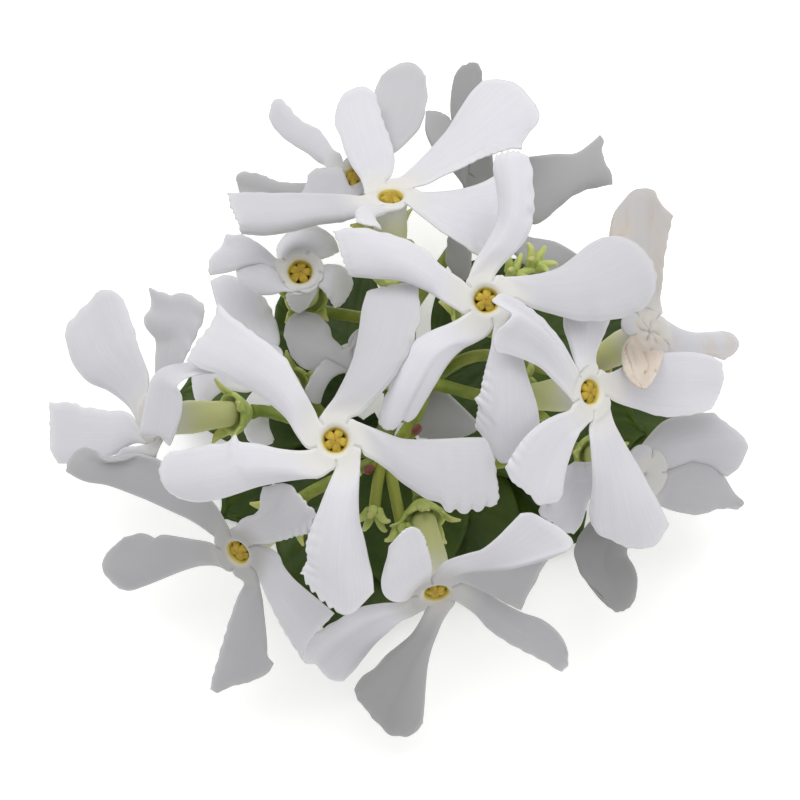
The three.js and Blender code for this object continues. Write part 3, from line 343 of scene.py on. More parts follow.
            [(-14, -10.6), (-15.5, -10.3), (-17, -10.05), (-17.75, -10), (-18, -10.3), (-18.4, -10.1),
             (-19.4, -9.9), (-20.5, -10.25)],
            [(-21.3, -10.9), (-21.9, -11.7), (-22, -12.6), (-21.5, -13.3)],
            [(-13.3, -12.3), (-14.7, -12.25), (-16, -12.6), (-17.5, -13.2), (-19, -13.8), (-20, -14.1),
             (-20.8, -13.95)])),
        3: dict(broad=(-13.9, -21.6), narrow=(-9.5, -19.9), rise=0.5, swing=12, bulge=0.03,
                flare=1.05, neck=0.9, outline=(
            [(-11.5, -13.4), (-12, -14.6), (-12.5, -16), (-12.9, -17.3), (-13.3, -18.7), (-13.75, -20.2),
             (-14.05, -21.4)],
            [(-13.6, -21.65), (-12.4, -21.2), (-11, -20.8), (-9.9, -20.3)],
            [(-10.2, -14.7), (-10.1, -15.6), (-9.95, -16.9), (-9.85, -18.2), (-9.8, -18.95),
             (-9.35, -19.5)])),
        4: dict(broad=(-7, -19.4), narrow=(-4.9, -15.6), rise=0, shade=0.1, bulge=0.02, flare=0.9, outline=(
            [(-10, -14.3), (-9.5, -15.3), (-8.9, -16.5), (-8.2, -17.7), (-7.6, -18.6), (-7.2, -19.3)],
            [(-6.9, -18.2), (-6.3, -17.3), (-5.6, -16.6)],
            [(-9.8, -10.9), (-9, -11.4), (-8.6, -12.3), (-7.9, -13.2), (-7, -14), (-5.9, -14.9),
             (-4.85, -15.8)])),
    }),
    dict(at=(-18.2, -1.5), height=-3, bearing=185, tilt=55, turn=3, shade=0.1, lobes={
        0: dict(broad=(-12.7, 1.6), narrow=(-12.8, 2.6), rise=(-0.4, -1.8), swing=-60,
                curl=(-5, -10), belly=1.2, twist=70, handle=(-19.9, 3.6, 4), outline=(
            [(-17.1, -3.4), (-16.6, -2.3), (-16.2, -0.8), (-16.2, 0.3), (-16.6, 0.9), (-16.1, 1.5),
             (-15, 1.9), (-14, 2), (-12.8, 2.1)],
            [],
            [(-19.3, -2.6), (-19, -1), (-18.7, 0.5), (-18.4, 1.5), (-17.8, 2.2), (-17, 2.55),
             (-16, 2.65), (-15, 2.85), (-14, 2.8), (-12.8, 2.5)])),
        1: dict(broad=(-14.5, 6.5), narrow=(-18.6, 8.2), rise=(-1.4, 0.8), shade=0.4, belly=0.4, ragged=0.1,
                outline=(
            [(-16.4, 1.5), (-16, 3), (-15.5, 3.9), (-15, 5), (-14.6, 5.8), (-14.5, 6.6)],
            [(-14.7, 7.2), (-15.3, 7.6), (-16, 7.95), (-17, 7.8), (-18, 8.1)],
            [(-18.2, 1.4), (-18.1, 3), (-18.1, 4.5), (-18.5, 5), (-18.9, 5.6), (-18.9, 6.2),
             (-18.5, 6.7), (-18.4, 7.3), (-18.6, 8.3)])),
        2: dict(broad=(-20.6, 7.9), narrow=(-24.7, 5.6), rise=(-1.4, 0.8), bulge=0.14,
                belly=(0, 1.1), ruffle=0.03, outline=(
            [(-18.6, 1.6), (-19, 2.9), (-19.5, 4.3), (-19.7, 5.3), (-20.1, 6.3), (-20.4, 7.2),
             (-20.9, 7.9)],
            [(-21.4, 8.15), (-22.2, 8.1), (-23, 7.3), (-24, 6.3), (-24.6, 5.6)],
            [(-20, -0.6), (-20.5, -0.1), (-21, 0.3), (-21.8, 0.8), (-23, 1.3), (-23.8, 2.1),
             (-24.3, 2.9), (-24.6, 3.9), (-24.8, 4.8)])),
        3: dict(broad=(-25.9, -0.3), narrow=(-25.5, -4.4), rise=2.5, shade=0.0, swing=-15,
                ruffle=0.03, outline=(
            [(-20.2, -0.9), (-21.5, -0.8), (-22.7, -0.6), (-23.5, -0.5), (-24, -0.25), (-25, -0.15),
             (-25.95, -0.2)],
            [(-25.9, -2), (-25.85, -3.7)],
            [(-19.6, -3.2), (-21, -4), (-22.5, -4.4), (-24, -4.7), (-25.3, -4.7)])),
        4: dict(broad=(-21.5, -4.7), narrow=(-18.4, -5.6), rise=-1, swing=-30),
    }),
    dict(at=(-10.2, 2.1), height=-11, bearing=150, tilt=20, turn=40, lobes={
        1: dict(broad=(-10.4, 8), narrow=(-13.9, 8.4), rise=-0.5, bulge=0.1, flare=0.45, neck=1.3,
                belly=(0.7, 0), ruffle=0.16, outline=(
            [(-9, 4), (-9, 5.2), (-9.4, 6.3), (-9.8, 7.2), (-10.4, 7.9)],
            [(-11.2, 8.5), (-12.1, 9.1), (-13.2, 9.2)],
            [(-11.4, 3.8), (-12.9, 5.6), (-13.6, 7.1), (-14.05, 8.8)])),
        2: dict(broad=(-15.6, 1.9), narrow=(-14.7, -0.9), rise=-0.5, neck=1.2),
        3: dict(broad=(-11.3, -3.2), narrow=(-9.3, -3.2), rise=-0.8, swing=12),
    }),
    dict(at=(-2.1, 3.7), height=-10.5, bearing=60, tilt=10, turn=-45, shade=0.65, lobes={
        0: dict(broad=(1.5, -2.9), narrow=(6.3, -2.2), rise=-1),
        2: dict(broad=(-7.7, 6.4), narrow=(-7.4, 3.1), rise=0, swing=50, bulge=0.12, outline=(
            [(-3.9, 3.5), (-4.4, 4), (-5, 4.6), (-5.2, 5.3), (-5.8, 6.1), (-6.6, 6.5)],
            [(-7.6, 6.5), (-8.3, 5.9), (-8.6, 5), (-8.3, 4)],
            [(-3.5, 2.2), (-4.6, 2.2), (-6, 2.1), (-7.2, 2.4), (-8, 3.2)])),
        3: dict(broad=(-7.1, 0.6), narrow=(-5.9, -0.3), rise=0, swing=30),
    }),
]

# What a lobe is like where its entry doesn't say.
LOBE = dict(
    swing=0,  # degrees that its root is turned from its slot
    bulge=0.06,  # how far the middle of its end runs past the corners, as a share of its length
    curl=(-10, -25),  # degrees that its sides bend back
    flare=0.62,  # share of its length where it has its full width
    neck=1,  # width of its root, as a share of the usual one
    belly=0,  # extra half width at mid length
    fold=0,  # degrees that its sides fold up along the midrib
    arch=1.6,  # how far the midrib's handle stands over the eye
    twist=0,  # degrees that its root is rolled about the midrib
    # Its broad edge, its end and its narrow edge in plan. The edges run from the root, and the end from the
    # broad edge to the narrow one.
    outline=None,
    handle=None,  # place and rise of the midrib's handle, for a lobe that doesn't leave its slot straight
    shade=None,  # painted shade: how far it is painted grey, where that isn't as the rest of its bloom
    pleated=0.0,  # height of the folds that run along it, where it is shrivelled
    tan=0.0,  # how far it has turned to a pinkish tan
    ruffle=0.07,  # height of the waves along its broad side
    waves=5.0,  # waves along its length
    frill=0.04,  # how deep its broad edge is scalloped
    frilled=0.3,  # share of its length from which its broad side is ruffled
    ragged=0.14,  # how uneven its end edge is
    teeth=0.05,  # depth of the small scallops along the broad half of its end
)
SLOTS = 5
LOBE_ROOT = 1.5  # radius at which a lobe leaves the eye
NECK = 1.03  # half width of a usual root
WIDENS = 0.04  # share of its length where a lobe starts to widen
CURLED = 0.4  # share of its length where its sides have their full curl
SLACK = 0.5  # least half width that a curl is worked out for
LEAST_BEND = 1e-4  # a curl flatter than this is worked out as this one
FOLDS = 1.3  # folds on each half of a shrivelled lobe
FOLD_SLANT = (0.9, 0.5)  # how far those folds wander along and across it
CRUMPLES = 6  # folds round a withered eye
CRUMPLED = 0.2  # their height
CRUMPLE_TWIST = 4  # radians of a fold that they run on for each millimetre outward
TEETH = 4.5  # small scallops along the broad half of a lobe's end
TOOTH_MIDDLE = 0.6  # share of their height that lies inside the end's outline
SCALLOPS = 1.5  # scallops of the broad edge to a wave
UNEVEN = 0.1  # height of the roll of a whole lobe
RUFFLES_IN = 0.35  # share of its length over which the ruffle of its broad side sets in
# Where on a lobe each trait sets in and is full. Along it, 0 is its root and 1 its end. Across it, 0 is
# its midrib and 1 its broad edge.
FOLDED_ALONG = (0.1, 0.5)
PLEATED_ALONG = (0, 0.25)
FRILLED_ACROSS = (0.7, 1)
RUFFLED_ACROSS = (0.35, 1)
RAGGED_ALONG = (0.8, 1)
TEETH_ALONG = (0.93, 1)
TEETH_ACROSS = (-0.15, 0.1)
ROLLED_ALONG = (0.1, 0.5)
SHADED_ALONG = (0.05, 0.3)
SHADED_ACROSS = (-0.1, 0.1)
THINNED_ALONG = (0.93, 1)
THINNED_ACROSS = (0.8, 1)
CREASED = (0.5, 1)  # depths of a pleat between which its crease darkens, where 1 is its bottom
CORNER = 1.3  # power by which the end's outline runs out to its corners
ROLL = 2.1  # how much more than the solid's the sides of a lobe curl back
LEAD = 0.45  # length of the midrib's handle, as a share of the lobe's reach
SHARE = 0.4  # share of the end edge that lies on the narrow side
STEPS = 48  # steps along a lobe's midrib
ROOT_POINTS = 41  # places across its root that its outline starts from
DEEP = -8  # blooms lower in the head than this have fewer faces
# Rows and columns of a lobe of the foremost blooms, the next ones and the deep ones.
FINE_GRID = (90, 47)
NEAR_GRID = (62, 27)
FAR_GRID = (48, 21)
FOREMOST = 4  # blooms with the fine grid
# Distances from the eye's rim between which a lobe takes up its place in plan and its height.
LEAVING = (0.1, 1.05)
LIFTING = (0.0, 2.8)
EYE_TURN = math.radians(26)  # how far the notches between the lobes are turned from the slots
NOTCH = 1.9  # radius at which two lobes part, where a bloom has no notch of its own
SOFT = 0.02  # share of its length over which a lobe takes up its outline
STUB = 0.9  # length of what stands in a slot that has no lobe
STUB_DROOP = 0.5  # how far its end hangs

# The inside of the throat and the eye, as radius and height over the eye.
THROAT = [
    (0.53, -2.4), (0.58, -1.7), (0.66, -1.1), (0.76, -0.62), (0.85, -0.36), (0.93, -0.19), (1.01, -0.08),
    (1.1, -0.02), (1.19, 0.02), (1.28, 0.03), (1.38, 0.03),
]
STAR = 0.05  # how far the throat is drawn out to five corners, as a share of its radius
STAR_DEPTHS = (-0.2, 0.8)  # depths under the eye between which those corners set in
SHUT = 0.8  # how far a shut throat is drawn in, as a share of its radius
SHUT_RIM = 0.5  # distance inward of the eye's rim over which that sets in
YELLOW = (0.92, 1.36)  # radii between which the throat's yellow fades
THROAT_SHADE_DEPTHS = (0.3, 0.8)  # depths under the eye between which the throat's painted shade sets in
EYE_CREASE = 0.6  # how dark the creases round a withered eye are
# The outside of the tube, closed under the eye.
TUBE = [
    (0, -7), (0.9, -7), (0.97, -6.6), (1.05, -5.4), (1.2, -4.1), (1.28, -3.2), (1.24, -2.2), (1.2, -1.4),
    (1.26, -0.8), (1.42, -0.36), (1.5, -0.16), (1.3, -0.06), (1.1, -0.24), (0.95, -0.8), (0.82, -1.25),
    (0, -1.3),
]
TUBE_SIDES = 40
TUBE_INSIDE = (-1.31, 0.96)  # its inner wall lies over this height and nearer to the axis than this
TUBE_GREEN = (0.2, 4)  # depths between which its outside turns green

CUP = [
    (0, -8.4), (0.62, -8.4), (0.75, -8.3), (0.98, -8.0), (1.35, -7.55), (1.62, -7.15), (1.7, -6.85),
    (1.6, -6.72), (1.42, -6.74), (1.28, -6.95), (1.22, -7.3), (0, -7.3),
]
CUP_SIDES = 30
SEPAL_PATH = [(1.5, -7.2), (1.9, -6.1), (2.8, -5.7)]
SEPAL_HALVES = (0.54, 0.4, 0.08)  # half its width along that path
SEPAL_THICK = (0.26, 0.12)  # at its foot and at its tip
SEPAL_LIFT = (-0.35, 0.1)  # least and most that its tip is lifted
SEPAL_ROLL = 0.3  # how far its sides roll in, as a share of its half width
SEPAL_TURN = 0.3  # of a slot
SEPAL_GRID = (18, 9)

# An anther leans from the throat's wall to its middle: radius and height of its foot and tip.
ANTHER_FOOT = (0.84, -0.46)
ANTHER_TIP = (0.03, 0.02)
ANTHER_HALF = (0.33, 0.2)  # half its width and depth
ANTHER_GRID = (14, 12)
ANTHER_STRAY = 0.04  # how far one strays from its bearing, as a share of a slot, and in height
ANTHER_BOW = 0.08  # how far it bows outward
ANTHER_SUNK = 0.9  # how much lower it stands in a shut throat
ANTHER_DRAWN = 0.4  # how much nearer to the axis its foot is there, as a share
GROOVE = (0.22, 0.35)  # depth of the groove along its back and front, and its width as an angle

MAIN_RADIUS = 1.29  # the lying stem, whose underside rests on the floor
MAIN_Y = (0.3, 15.3)  # where its ends lie
BRANCH = 0.75
SIDE_BRANCH = 0.6
PEDICEL = 0.5
PEDICEL_LEAD = 1.3  # how far under its foot a pedicel turns into the bloom's axis
CUP_FOOT = 8.4
SEAM = 0.3
STALK_SIDES = 14
STALK_STEPS = 28
STALK_VOXEL = 0.18
MAIN_GRID = (24, 28)  # points along the lying stem and round it
BRANCH_WAIST = 0.08  # how much thinner a branch is midway, as a share of its radius
PEDICEL_ROOT = 0.12  # how much a pedicel widens where it leaves its fork, as a share of its radius
SWELL = 0.28  # how much a pedicel widens under its cup, as a share of its radius
FORKS = dict(low=(0, 0.2, -21.4), back=(0, 6, -19.5), front=(-0.5, -4, -9), right=(2, 1.4, -8.6))
BRANCHES = [
    ([FORKS["low"], (-1.4, -3.4, -15), FORKS["front"]], BRANCH),
    ([(0, 4.5, -22.6), FORKS["back"]], BRANCH),
    ([FORKS["front"], (1, -1.6, -8.2), FORKS["right"]], SIDE_BRANCH),
]
# Which fork carries each bloom's pedicel, and a place that it passes on its way, if any.
CARRIED = [
    ("front", None), ("right", None), ("back", None), ("right", None), ("back", None), ("back", None),
    ("back", None), ("right", (6, 3.4, -10)), ("front", (6, -5, -11.5)), ("front", None),
    ("front", None), ("front", None), ("front", (-4.5, -2.5, -15)), ("low", None),
]

# Thin side shoots: the fork that carries each, the places in the head that its stalk passes and ends at,
# and whether it ends in a bare calyx or in a young bud.
SHOOTS = [
    dict(fork="front", places=[(-1.5, -5.4, -5.5), (-2, -8.7, -3.6)], end="calyx"),
    dict(fork="front", places=[(-0.7, -5.2, -6), (0.2, -9.9, -3.4)], end="calyx"),
    dict(fork="right", places=[(6.2, 6.6, -7.5), (8.7, 9.7, -4.8)], end="calyx"),
    dict(fork="right", places=[(7.4, 7.4, -8.2), (10.3, 10.4, -5.4)], end="calyx"),
    dict(fork="front", places=[(0.3, -3.4, -6.5), (1.5, -1.9, -3.4)], end="bud"),
    dict(fork="front", places=[(-1.7, -4.8, -6.5), (-2.6, -5.4, -4.2)], end="bud"),
]
SHOOT = dict(calyx=0.44, bud=0.27)  # radius of such a stalk
SHOOT_STEPS = 40
HOOKS = 5  # curled sepals round a bare calyx
HOOK_PATH = [(0.35, -0.4), (1.0, 0.8), (1.5, 0.55)]  # radius and height over the stalk's end
HOOK_RADII = (0.4, 0.13)
HOOK_GRID = (14, 10)  # steps along one and sides round it
HOOK_SEAT = (0.5, 0.6)  # how much a stalk widens under them, and over what share of a bud's length
BUD_LENGTH = 1.5
BUD_TIP = 0.05  # least radius of a bud
BUD_SWELL = 0.1  # how much wider than its stalk a bud is

# Leaves: where each starts and ends in plan, its width, and the heights of its start, its lowest stretch
# and its tip over the floor.
LEAVES = [
    ((-2.3, 3.7), (-8.5, 8.4), 10, (1.7, 0.5, 1.0)),
    ((-1.6, -1.4), (-13.2, -8.6), 10, (1.7, 0.5, 1.0)),
    ((1.6, -1.4), (13.6, -10.4), 10.5, (1.7, 0.5, 1.0)),
    ((1.9, 3.5), (12.4, 9.2), 10, (1.7, 0.5, 1.0)),
    ((-2.4, 0.6), (-16.6, 0.2), 10, (3.6, 2.8, 2.2)),
    ((0.1, -3.0), (0.6, -14.6), 10, (4.1, 3.3, 2.6)),
    ((0.6, -0.7), (18.2, -2.4), 10.5, (3.9, 3.3, 2.6)),
    ((-0.9, -2.4), (-5.2, -17.4), 13.5, (2.9, 2.2, 1.6)),
    ((0.9, 0.4), (21.4, -1.6), 12, (3.0, 2.3, 1.8)),
    ((0.4, -2.6), (8.3, -14.2), 9, (2.6, 1.9, 1.4)),
    ((1.6, 2.6), (18.2, 5.4), 8.5, (3.3, 2.6, 2.0)),
]
SOLID_LEAVES = 7  # the ones that stand in the places of solids
LEAF = 0.5  # thickness of a blade
LEAF_STALK = 0.5  # half width of its stalk
LEAF_STALK_SHARE = 0.08  # share of its length that is stalk
LEAF_DISH = 0.9  # how far its sides rise
LEAF_WAVE = 0.25  # height of the waves along its edges
LEAF_TURNS = 2.2  # half waves along an edge
LEAF_EARLY = 0.85  # under 1, its widest place lies nearer to its stalk
LEAF_FULL = 0.8  # under 1, its outline is fuller than a sine
LEAF_GRID = (80, 29)
VEINS = 9  # side veins on each half of a blade
VEIN_SLANT = 0.3  # how far a side vein runs on towards the tip, as a share of the blade's length
VEIN_DEPTH = 0.12
VEIN_BOW = 1.2  # over 1, a side vein bends towards the tip
VEIN_HALF = 0.07  # half width of a side vein, as a share of the distance between two
SIDE_VEIN = (0.6, 0.75)  # depth and paleness of the side veins, as shares of the midrib's
MIDRIB_HALF = 0.32
PUFF = 0.04  # how far a blade puffs up between its veins
LEAF_POINT = (14, 0.04)  # how fast a blade narrows to its tip, and the least share of its width
LEAF_RIM = 0.6  # how much thinner a blade is at its edge, as a share


# ---------------------------------------------------------------------------------------------------
# What a user would change

class SprigSizes(bpy.types.PropertyGroup):
    petal_thickness: bpy.props.FloatProperty(
        name="Petal thickness", description="Thickness of a lobe along its middle", unit="LENGTH",
        default=0.34 * MM, min=0.1 * MM, max=0.6 * MM)
    edge_thickness: bpy.props.FloatProperty(
        name="Edge thickness", description="Thickness of a lobe at its rim", unit="LENGTH",
        default=0.12 * MM, min=0.05 * MM, max=0.3 * MM)
    ruffle: bpy.props.FloatProperty(
        name="Ruffle", description="Height of the waves on the broad sides, as a share of the usual one",
        subtype="FACTOR", default=1.0, min=0.0, max=2.0)
    floor_side: bpy.props.FloatProperty(
        name="Floor side", description="Side of the pale floor under the sprig", unit="LENGTH",
        default=6.0, min=0.5, max=20.0)


class SprigColours(bpy.types.PropertyGroup):
    petal: bpy.props.FloatVectorProperty(
        name="Petal", description="The white of a fresh lobe", subtype="COLOR", size=3,
        default=(0.66, 0.655, 0.69), min=0, max=1)
    throat: bpy.props.FloatVectorProperty(
        name="Throat", description="The yellow inside the throat", subtype="COLOR", size=3,
        default=(0.6, 0.47, 0.075), min=0, max=1)
    anther: bpy.props.FloatVectorProperty(
        name="Anther", description="The ochre of the anthers", subtype="COLOR", size=3,
        default=(0.52, 0.38, 0.05), min=0, max=1)
    sepal: bpy.props.FloatVectorProperty(
        name="Sepal", description="The pale green of the calyx", subtype="COLOR", size=3,
        default=(0.54, 0.59, 0.19), min=0, max=1)
    stem: bpy.props.FloatVectorProperty(
        name="Stem", description="The green of the stalks", subtype="COLOR", size=3,
        default=(0.27, 0.3, 0.045), min=0, max=1)
    leaf: bpy.props.FloatVectorProperty(
        name="Leaf", description="The dark green of the leaves", subtype="COLOR", size=3,
        default=(0.028, 0.055, 0.005), min=0, max=1)
    floor: bpy.props.FloatVectorProperty(
        name="Floor", description="The pale floor", subtype="COLOR", size=3,
        default=(0.9, 0.9, 0.9), min=0, max=1)


# ---------------------------------------------------------------------------------------------------
# Numbers and curves

def ease(value, low, high):
    share = np.clip((value - low) / (high - low), 0, 1)
    return share * share * (3 - 2 * share)


def mix(a, b, share):
    return a + (b - a) * share


def over_zero(value):
    """Twice the value where it is over 0 and nothing where it isn't, with a soft turn between."""
    return value + np.sqrt(value * value + SOFT * SOFT)


def unit(vectors):
    return vectors / np.linalg.norm(vectors, axis=-1, keepdims=True)


def pair(value):
    return value if isinstance(value, tuple) else (value, value)


def angles_round(count):
    return 2 * math.pi * np.arange(count) / count


def spoke(angle):
    """The ways outward and aside at an angle round a bloom's axis."""
    x, y = math.cos(angle), math.sin(angle)
    return np.array([x, y, 0.0]), np.array([-y, x, 0.0])


def run_along(points):
    """How far along a line of points each of them lies."""
    return np.concatenate([[0], np.cumsum(np.linalg.norm(np.diff(points, axis=0), axis=1))])


def quadratic(start, handle, end, steps):
    s = np.linspace(0, 1, steps + 1)[:, None]
    return start * (1 - s) ** 2 + handle * 2 * s * (1 - s) + end * s * s


def smooth_curve(points, steps):
    """A centripetal curve through the points."""
    points = np.array(points, float)
    ends = np.vstack([2 * points[0] - points[1], points, 2 * points[-1] - points[-2]])
    spans = len(points) - 1
    made = []
    for place in np.linspace(0, spans, steps + 1):
        k = min(int(place), spans - 1)
        t = place - k
        p0, p1, p2, p3 = ends[k:k + 4]
        d0, d1, d2 = (math.sqrt(np.linalg.norm(b - a)) for a, b in ((p0, p1), (p1, p2), (p2, p3)))
        m1 = ((p1 - p0) / d0 - (p2 - p0) / (d0 + d1) + (p2 - p1) / d1) * d1
        m2 = ((p2 - p1) / d1 - (p3 - p1) / (d1 + d2) + (p3 - p2) / d2) * d1
        made.append(p1 + m1 * t + (-3 * p1 + 3 * p2 - 2 * m1 - m2) * t * t
                    + (2 * p1 - 2 * p2 + m1 + m2) * t ** 3)
    return np.array(made)


class Wobble:
    """A smooth, seeded, uneven wave."""
    RATES = (0.6, 2.6)
    SIZES = (0.4, 1.0)

    def __init__(self, random, terms=4):
        self.rates = random.uniform(*self.RATES, terms)
        self.phases = random.uniform(0, 2 * math.pi, terms)
        self.sizes = random.uniform(*self.SIZES, terms) / terms

    def __call__(self, value, rate=1.0):
        value = np.asarray(value, float)
        return sum(size * np.sin(2 * math.pi * rate * pace * value + phase)
                   for pace, phase, size in zip(self.rates, self.phases, self.sizes))


# ---------------------------------------------------------------------------------------------------
# Frames

HEAD_TURN = np.array(Matrix.Rotation(LEAN, 3, "X"))


def from_head(points):
    return np.asarray(points, float) @ HEAD_TURN.T + HEAD_ORIGIN


def on_floor(plan, height):
    """The point over the floor, at that height, that stands at a place in plan."""
    sight = from_head((0, 0, SIGHT))
    ray = HEAD_TURN @ np.array([plan[0] / SIGHT, plan[1] / SIGHT, -1])
    return sight + ray * ((height - sight[2]) / ray[2])


def along_curve(points, shares):
    """Places at shares of the length of a smooth curve through the points."""
    fine = smooth_curve(points, 12 * (len(points) - 1))
    run = run_along(fine)
    return np.stack([np.interp(shares * run[-1], run, fine[:, k]) for k in (0, 1)], axis=-1)


def patch(broad, end, narrow, root, t, s):
    """A plane patch between a lobe's two edges, its end and its root, all given in plan."""
    u = (1 + t) / 2
    roots = np.stack([np.interp(t, root[0], root[1][:, k]) for k in (0, 1)], axis=-1)
    sides = [along_curve([roots_end, *edge], s) for roots_end, edge in
             ((root[1][-1], broad), (root[1][0], narrow))]
    tips = along_curve([narrow[-1], *reversed(end), broad[-1]], u)
    u, s = u[..., None], s[..., None]
    corners = ((1 - u) * (1 - s) * root[1][0] + u * (1 - s) * root[1][-1]
               + (1 - u) * s * np.array(narrow[-1]) + u * s * np.array(broad[-1]))
    return (1 - u) * sides[1] + u * sides[0] + (1 - s) * roots + s * tips - corners


class BloomFrame:
    """Where a bloom's eye lies in the head, and the way it faces."""

    def __init__(self, bloom):
        tilt, bearing = math.radians(bloom["tilt"]), math.radians(bloom["bearing"])
        near = (SIGHT - bloom["height"]) / SIGHT
        x, y = bloom["at"]
        self.place = np.array([x * near, y * near, bloom["height"]], float)
        facing = Vector((math.sin(tilt) * math.cos(bearing), math.sin(tilt) * math.sin(bearing),
                         math.cos(tilt)))
        self.turn = np.array(Vector((0, 0, 1)).rotation_difference(facing).to_matrix())

    def to_part(self, points):
        return from_head(np.asarray(points, float) @ self.turn.T + self.place)

    def plan_of(self, points):
        head = points @ self.turn.T + self.place
        return head[..., :2] * (SIGHT / (SIGHT - head[..., 2:])), head

    def moved_in_plan(self, points, plan):
        """The points, moved across the line of sight to other places in plan."""
        _, head = self.plan_of(points)
        head[..., :2] = plan * ((SIGHT - head[..., 2:]) / SIGHT)
        return (head - self.place) @ self.turn

    def from_plan(self, plan, rise):
        """A place in plan, brought into the bloom's frame at a rise over its eye."""
        eye = self.turn.T @ (np.array([0, 0, SIGHT]) - self.place)
        ray = self.turn.T @ np.array([plan[0] / SIGHT, plan[1] / SIGHT, -1])
        return eye + ray * ((rise - eye[2]) / ray[2])


# ---------------------------------------------------------------------------------------------------
# Meshes

def grid_faces(index):
    """Quads between the entries of a grid of vertex numbers."""
    a, b, c, d = index[:-1, :-1], index[:-1, 1:], index[1:, 1:], index[1:, :-1]
    return np.stack([a, b, c, d], axis=-1).reshape(-1, 4)


def sheet_faces(rows, columns):
    """The quads of a sheet of points."""
    return grid_faces(np.arange(rows * columns).reshape(rows, columns))


def closed_faces(rows, sides):
    """The faces of rings of points and of a cap at each end, whose middle points follow the rings."""
    index = np.arange(rows * sides).reshape(rows, sides)
    index = np.column_stack([index, index[:, 0]])
    foot, top = rows * sides, rows * sides + 1
    caps = [(index[0, k + 1], index[0, k], foot) for k in range(sides)]
    caps += [(index[-1, k], index[-1, k + 1], top) for k in range(sides)]
    return grid_faces(index).tolist() + caps


def point_normals(points, faces):
    corners = points[faces]
    flat = np.cross(corners[:, 2] - corners[:, 0], corners[:, 3] - corners[:, 1])
    normals = np.zeros_like(points)
    for k in range(4):
        np.add.at(normals, faces[:, k], flat)
    return unit(normals + 1e-12)


def thickened(points, faces, thickness):
    """A closed shell round a surface of quads, with a rim along its open edges."""
    half = point_normals(points, faces) * (np.asarray(thickness) / 2)[:, None]
    count = len(points)
    edges = np.concatenate([faces[:, [k, (k + 1) % 4]] for k in range(4)])
    keys = np.sort(edges, axis=1)
    _, first, uses = np.unique(keys, axis=0, return_index=True, return_counts=True)
    open_edges = edges[first[uses == 1]]
    a, b = open_edges[:, 0], open_edges[:, 1]
    rim = np.stack([b, a, a + count, b + count], axis=1)
    under = faces[:, ::-1] + count
    return np.vstack([points + half, points - half]), np.vstack([faces, under, rim])


def turned(profile, sides):
    """A body of revolution about z, from a profile that starts and ends on the axis."""
    inner = profile[1:-1]
    angles = angles_round(sides)
    ring = np.stack([np.cos(angles), np.sin(angles)], axis=1)
    rows = [np.column_stack([ring * radius, np.full(sides, z)]) for radius, z in inner]
    points = np.vstack(rows + [[(0, 0, profile[0][1])], [(0, 0, profile[-1][1])]])
    return points, closed_faces(len(inner), sides)


def swept(path, radii, sides):
    """A closed tube along a path, with the radius that it has at each point."""
    path = np.asarray(path, float)
    along = unit(np.gradient(path, axis=0))
    side = unit(np.cross(along[0], (0.3, 0.2, 1.0)))
    angles = angles_round(sides)
    rows = []
    for place, way, radius in zip(path, along, radii):
        side = unit(side - way * (side @ way))
        other = np.cross(way, side)
        rows.append(place + radius * (np.outer(np.cos(angles), side) + np.outer(np.sin(angles), other)))
    return np.vstack(rows + [[path[0]], [path[-1]]]), closed_faces(len(path), sides)


class Parts:
    """Shells gathered into one mesh, with a value of each named kind at every point."""

    def __init__(self, kinds=()):
        self.points, self.faces = [], []
        self.values = {kind: [] for kind in kinds}
        self.count = 0

    def add(self, points, faces, **values):
        self.points.append(np.asarray(points, float))
        self.faces += [[int(corner) + self.count for corner in face] for face in faces]
        for kind, rows in self.values.items():
            given = values.get(kind, 0.0)
            rows.append(np.broadcast_to(np.asarray(given, float), (len(points),)))
        self.count += len(points)

    def piece(self, name, material):
        mesh = bpy.data.meshes.new(name)
        mesh.from_pydata((np.vstack(self.points) * MM).tolist(), [], self.faces)
        for kind, rows in self.values.items():
            layer = mesh.attributes.new(kind, "FLOAT", "POINT")
            layer.data.foreach_set("value", np.concatenate(rows).astype(np.float32))
        mesh.polygons.foreach_set("use_smooth", np.ones(len(mesh.polygons), bool))
        mesh.materials.append(material)
        mesh.validate()
        mesh.update()
        made = bpy.data.objects.new(name, mesh)
        bpy.context.scene.collection.objects.link(made)
        return made


def dressed(piece, node=None):
    """Puts a piece on the sprig's body, and in the place of a solid where it stands for one."""
    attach(piece, BODY)
    if node:
        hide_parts(node)
    return piece


# ---------------------------------------------------------------------------------------------------
# Corolla

class Midrib:
    """A curve from the eye to a lobe's end, with a normal carried along it."""

    def __init__(self, start, handle, end):
        s = np.linspace(0, 1, STEPS + 1)[:, None]
        self.points = quadratic(start, handle, end, STEPS)
        self.along = unit((handle - start) * (1 - s) + (end - handle) * s)
        normals = [np.array([0.0, 0.0, 1.0])]
        for way in self.along:
            normals.append(unit(normals[-1] - way * (normals[-1] @ way)))
        self.normals = np.array(normals[1:])
        self.length = np.linalg.norm(np.diff(self.points, axis=0), axis=1).sum()

    def at(self, reach):
        place = np.clip(reach, 0, 1) * STEPS
        k = np.minimum(place.astype(int), STEPS - 1)
        share = (place - k)[..., None]
        point = mix(self.points[k], self.points[k + 1], share)
        along = unit(mix(self.along[k], self.along[k + 1], share))
        normal = unit(mix(self.normals[k], self.normals[k + 1], share))
        point = point + along * (np.maximum(reach - 1, 0) * self.length)[..., None]
        return point, along, normal


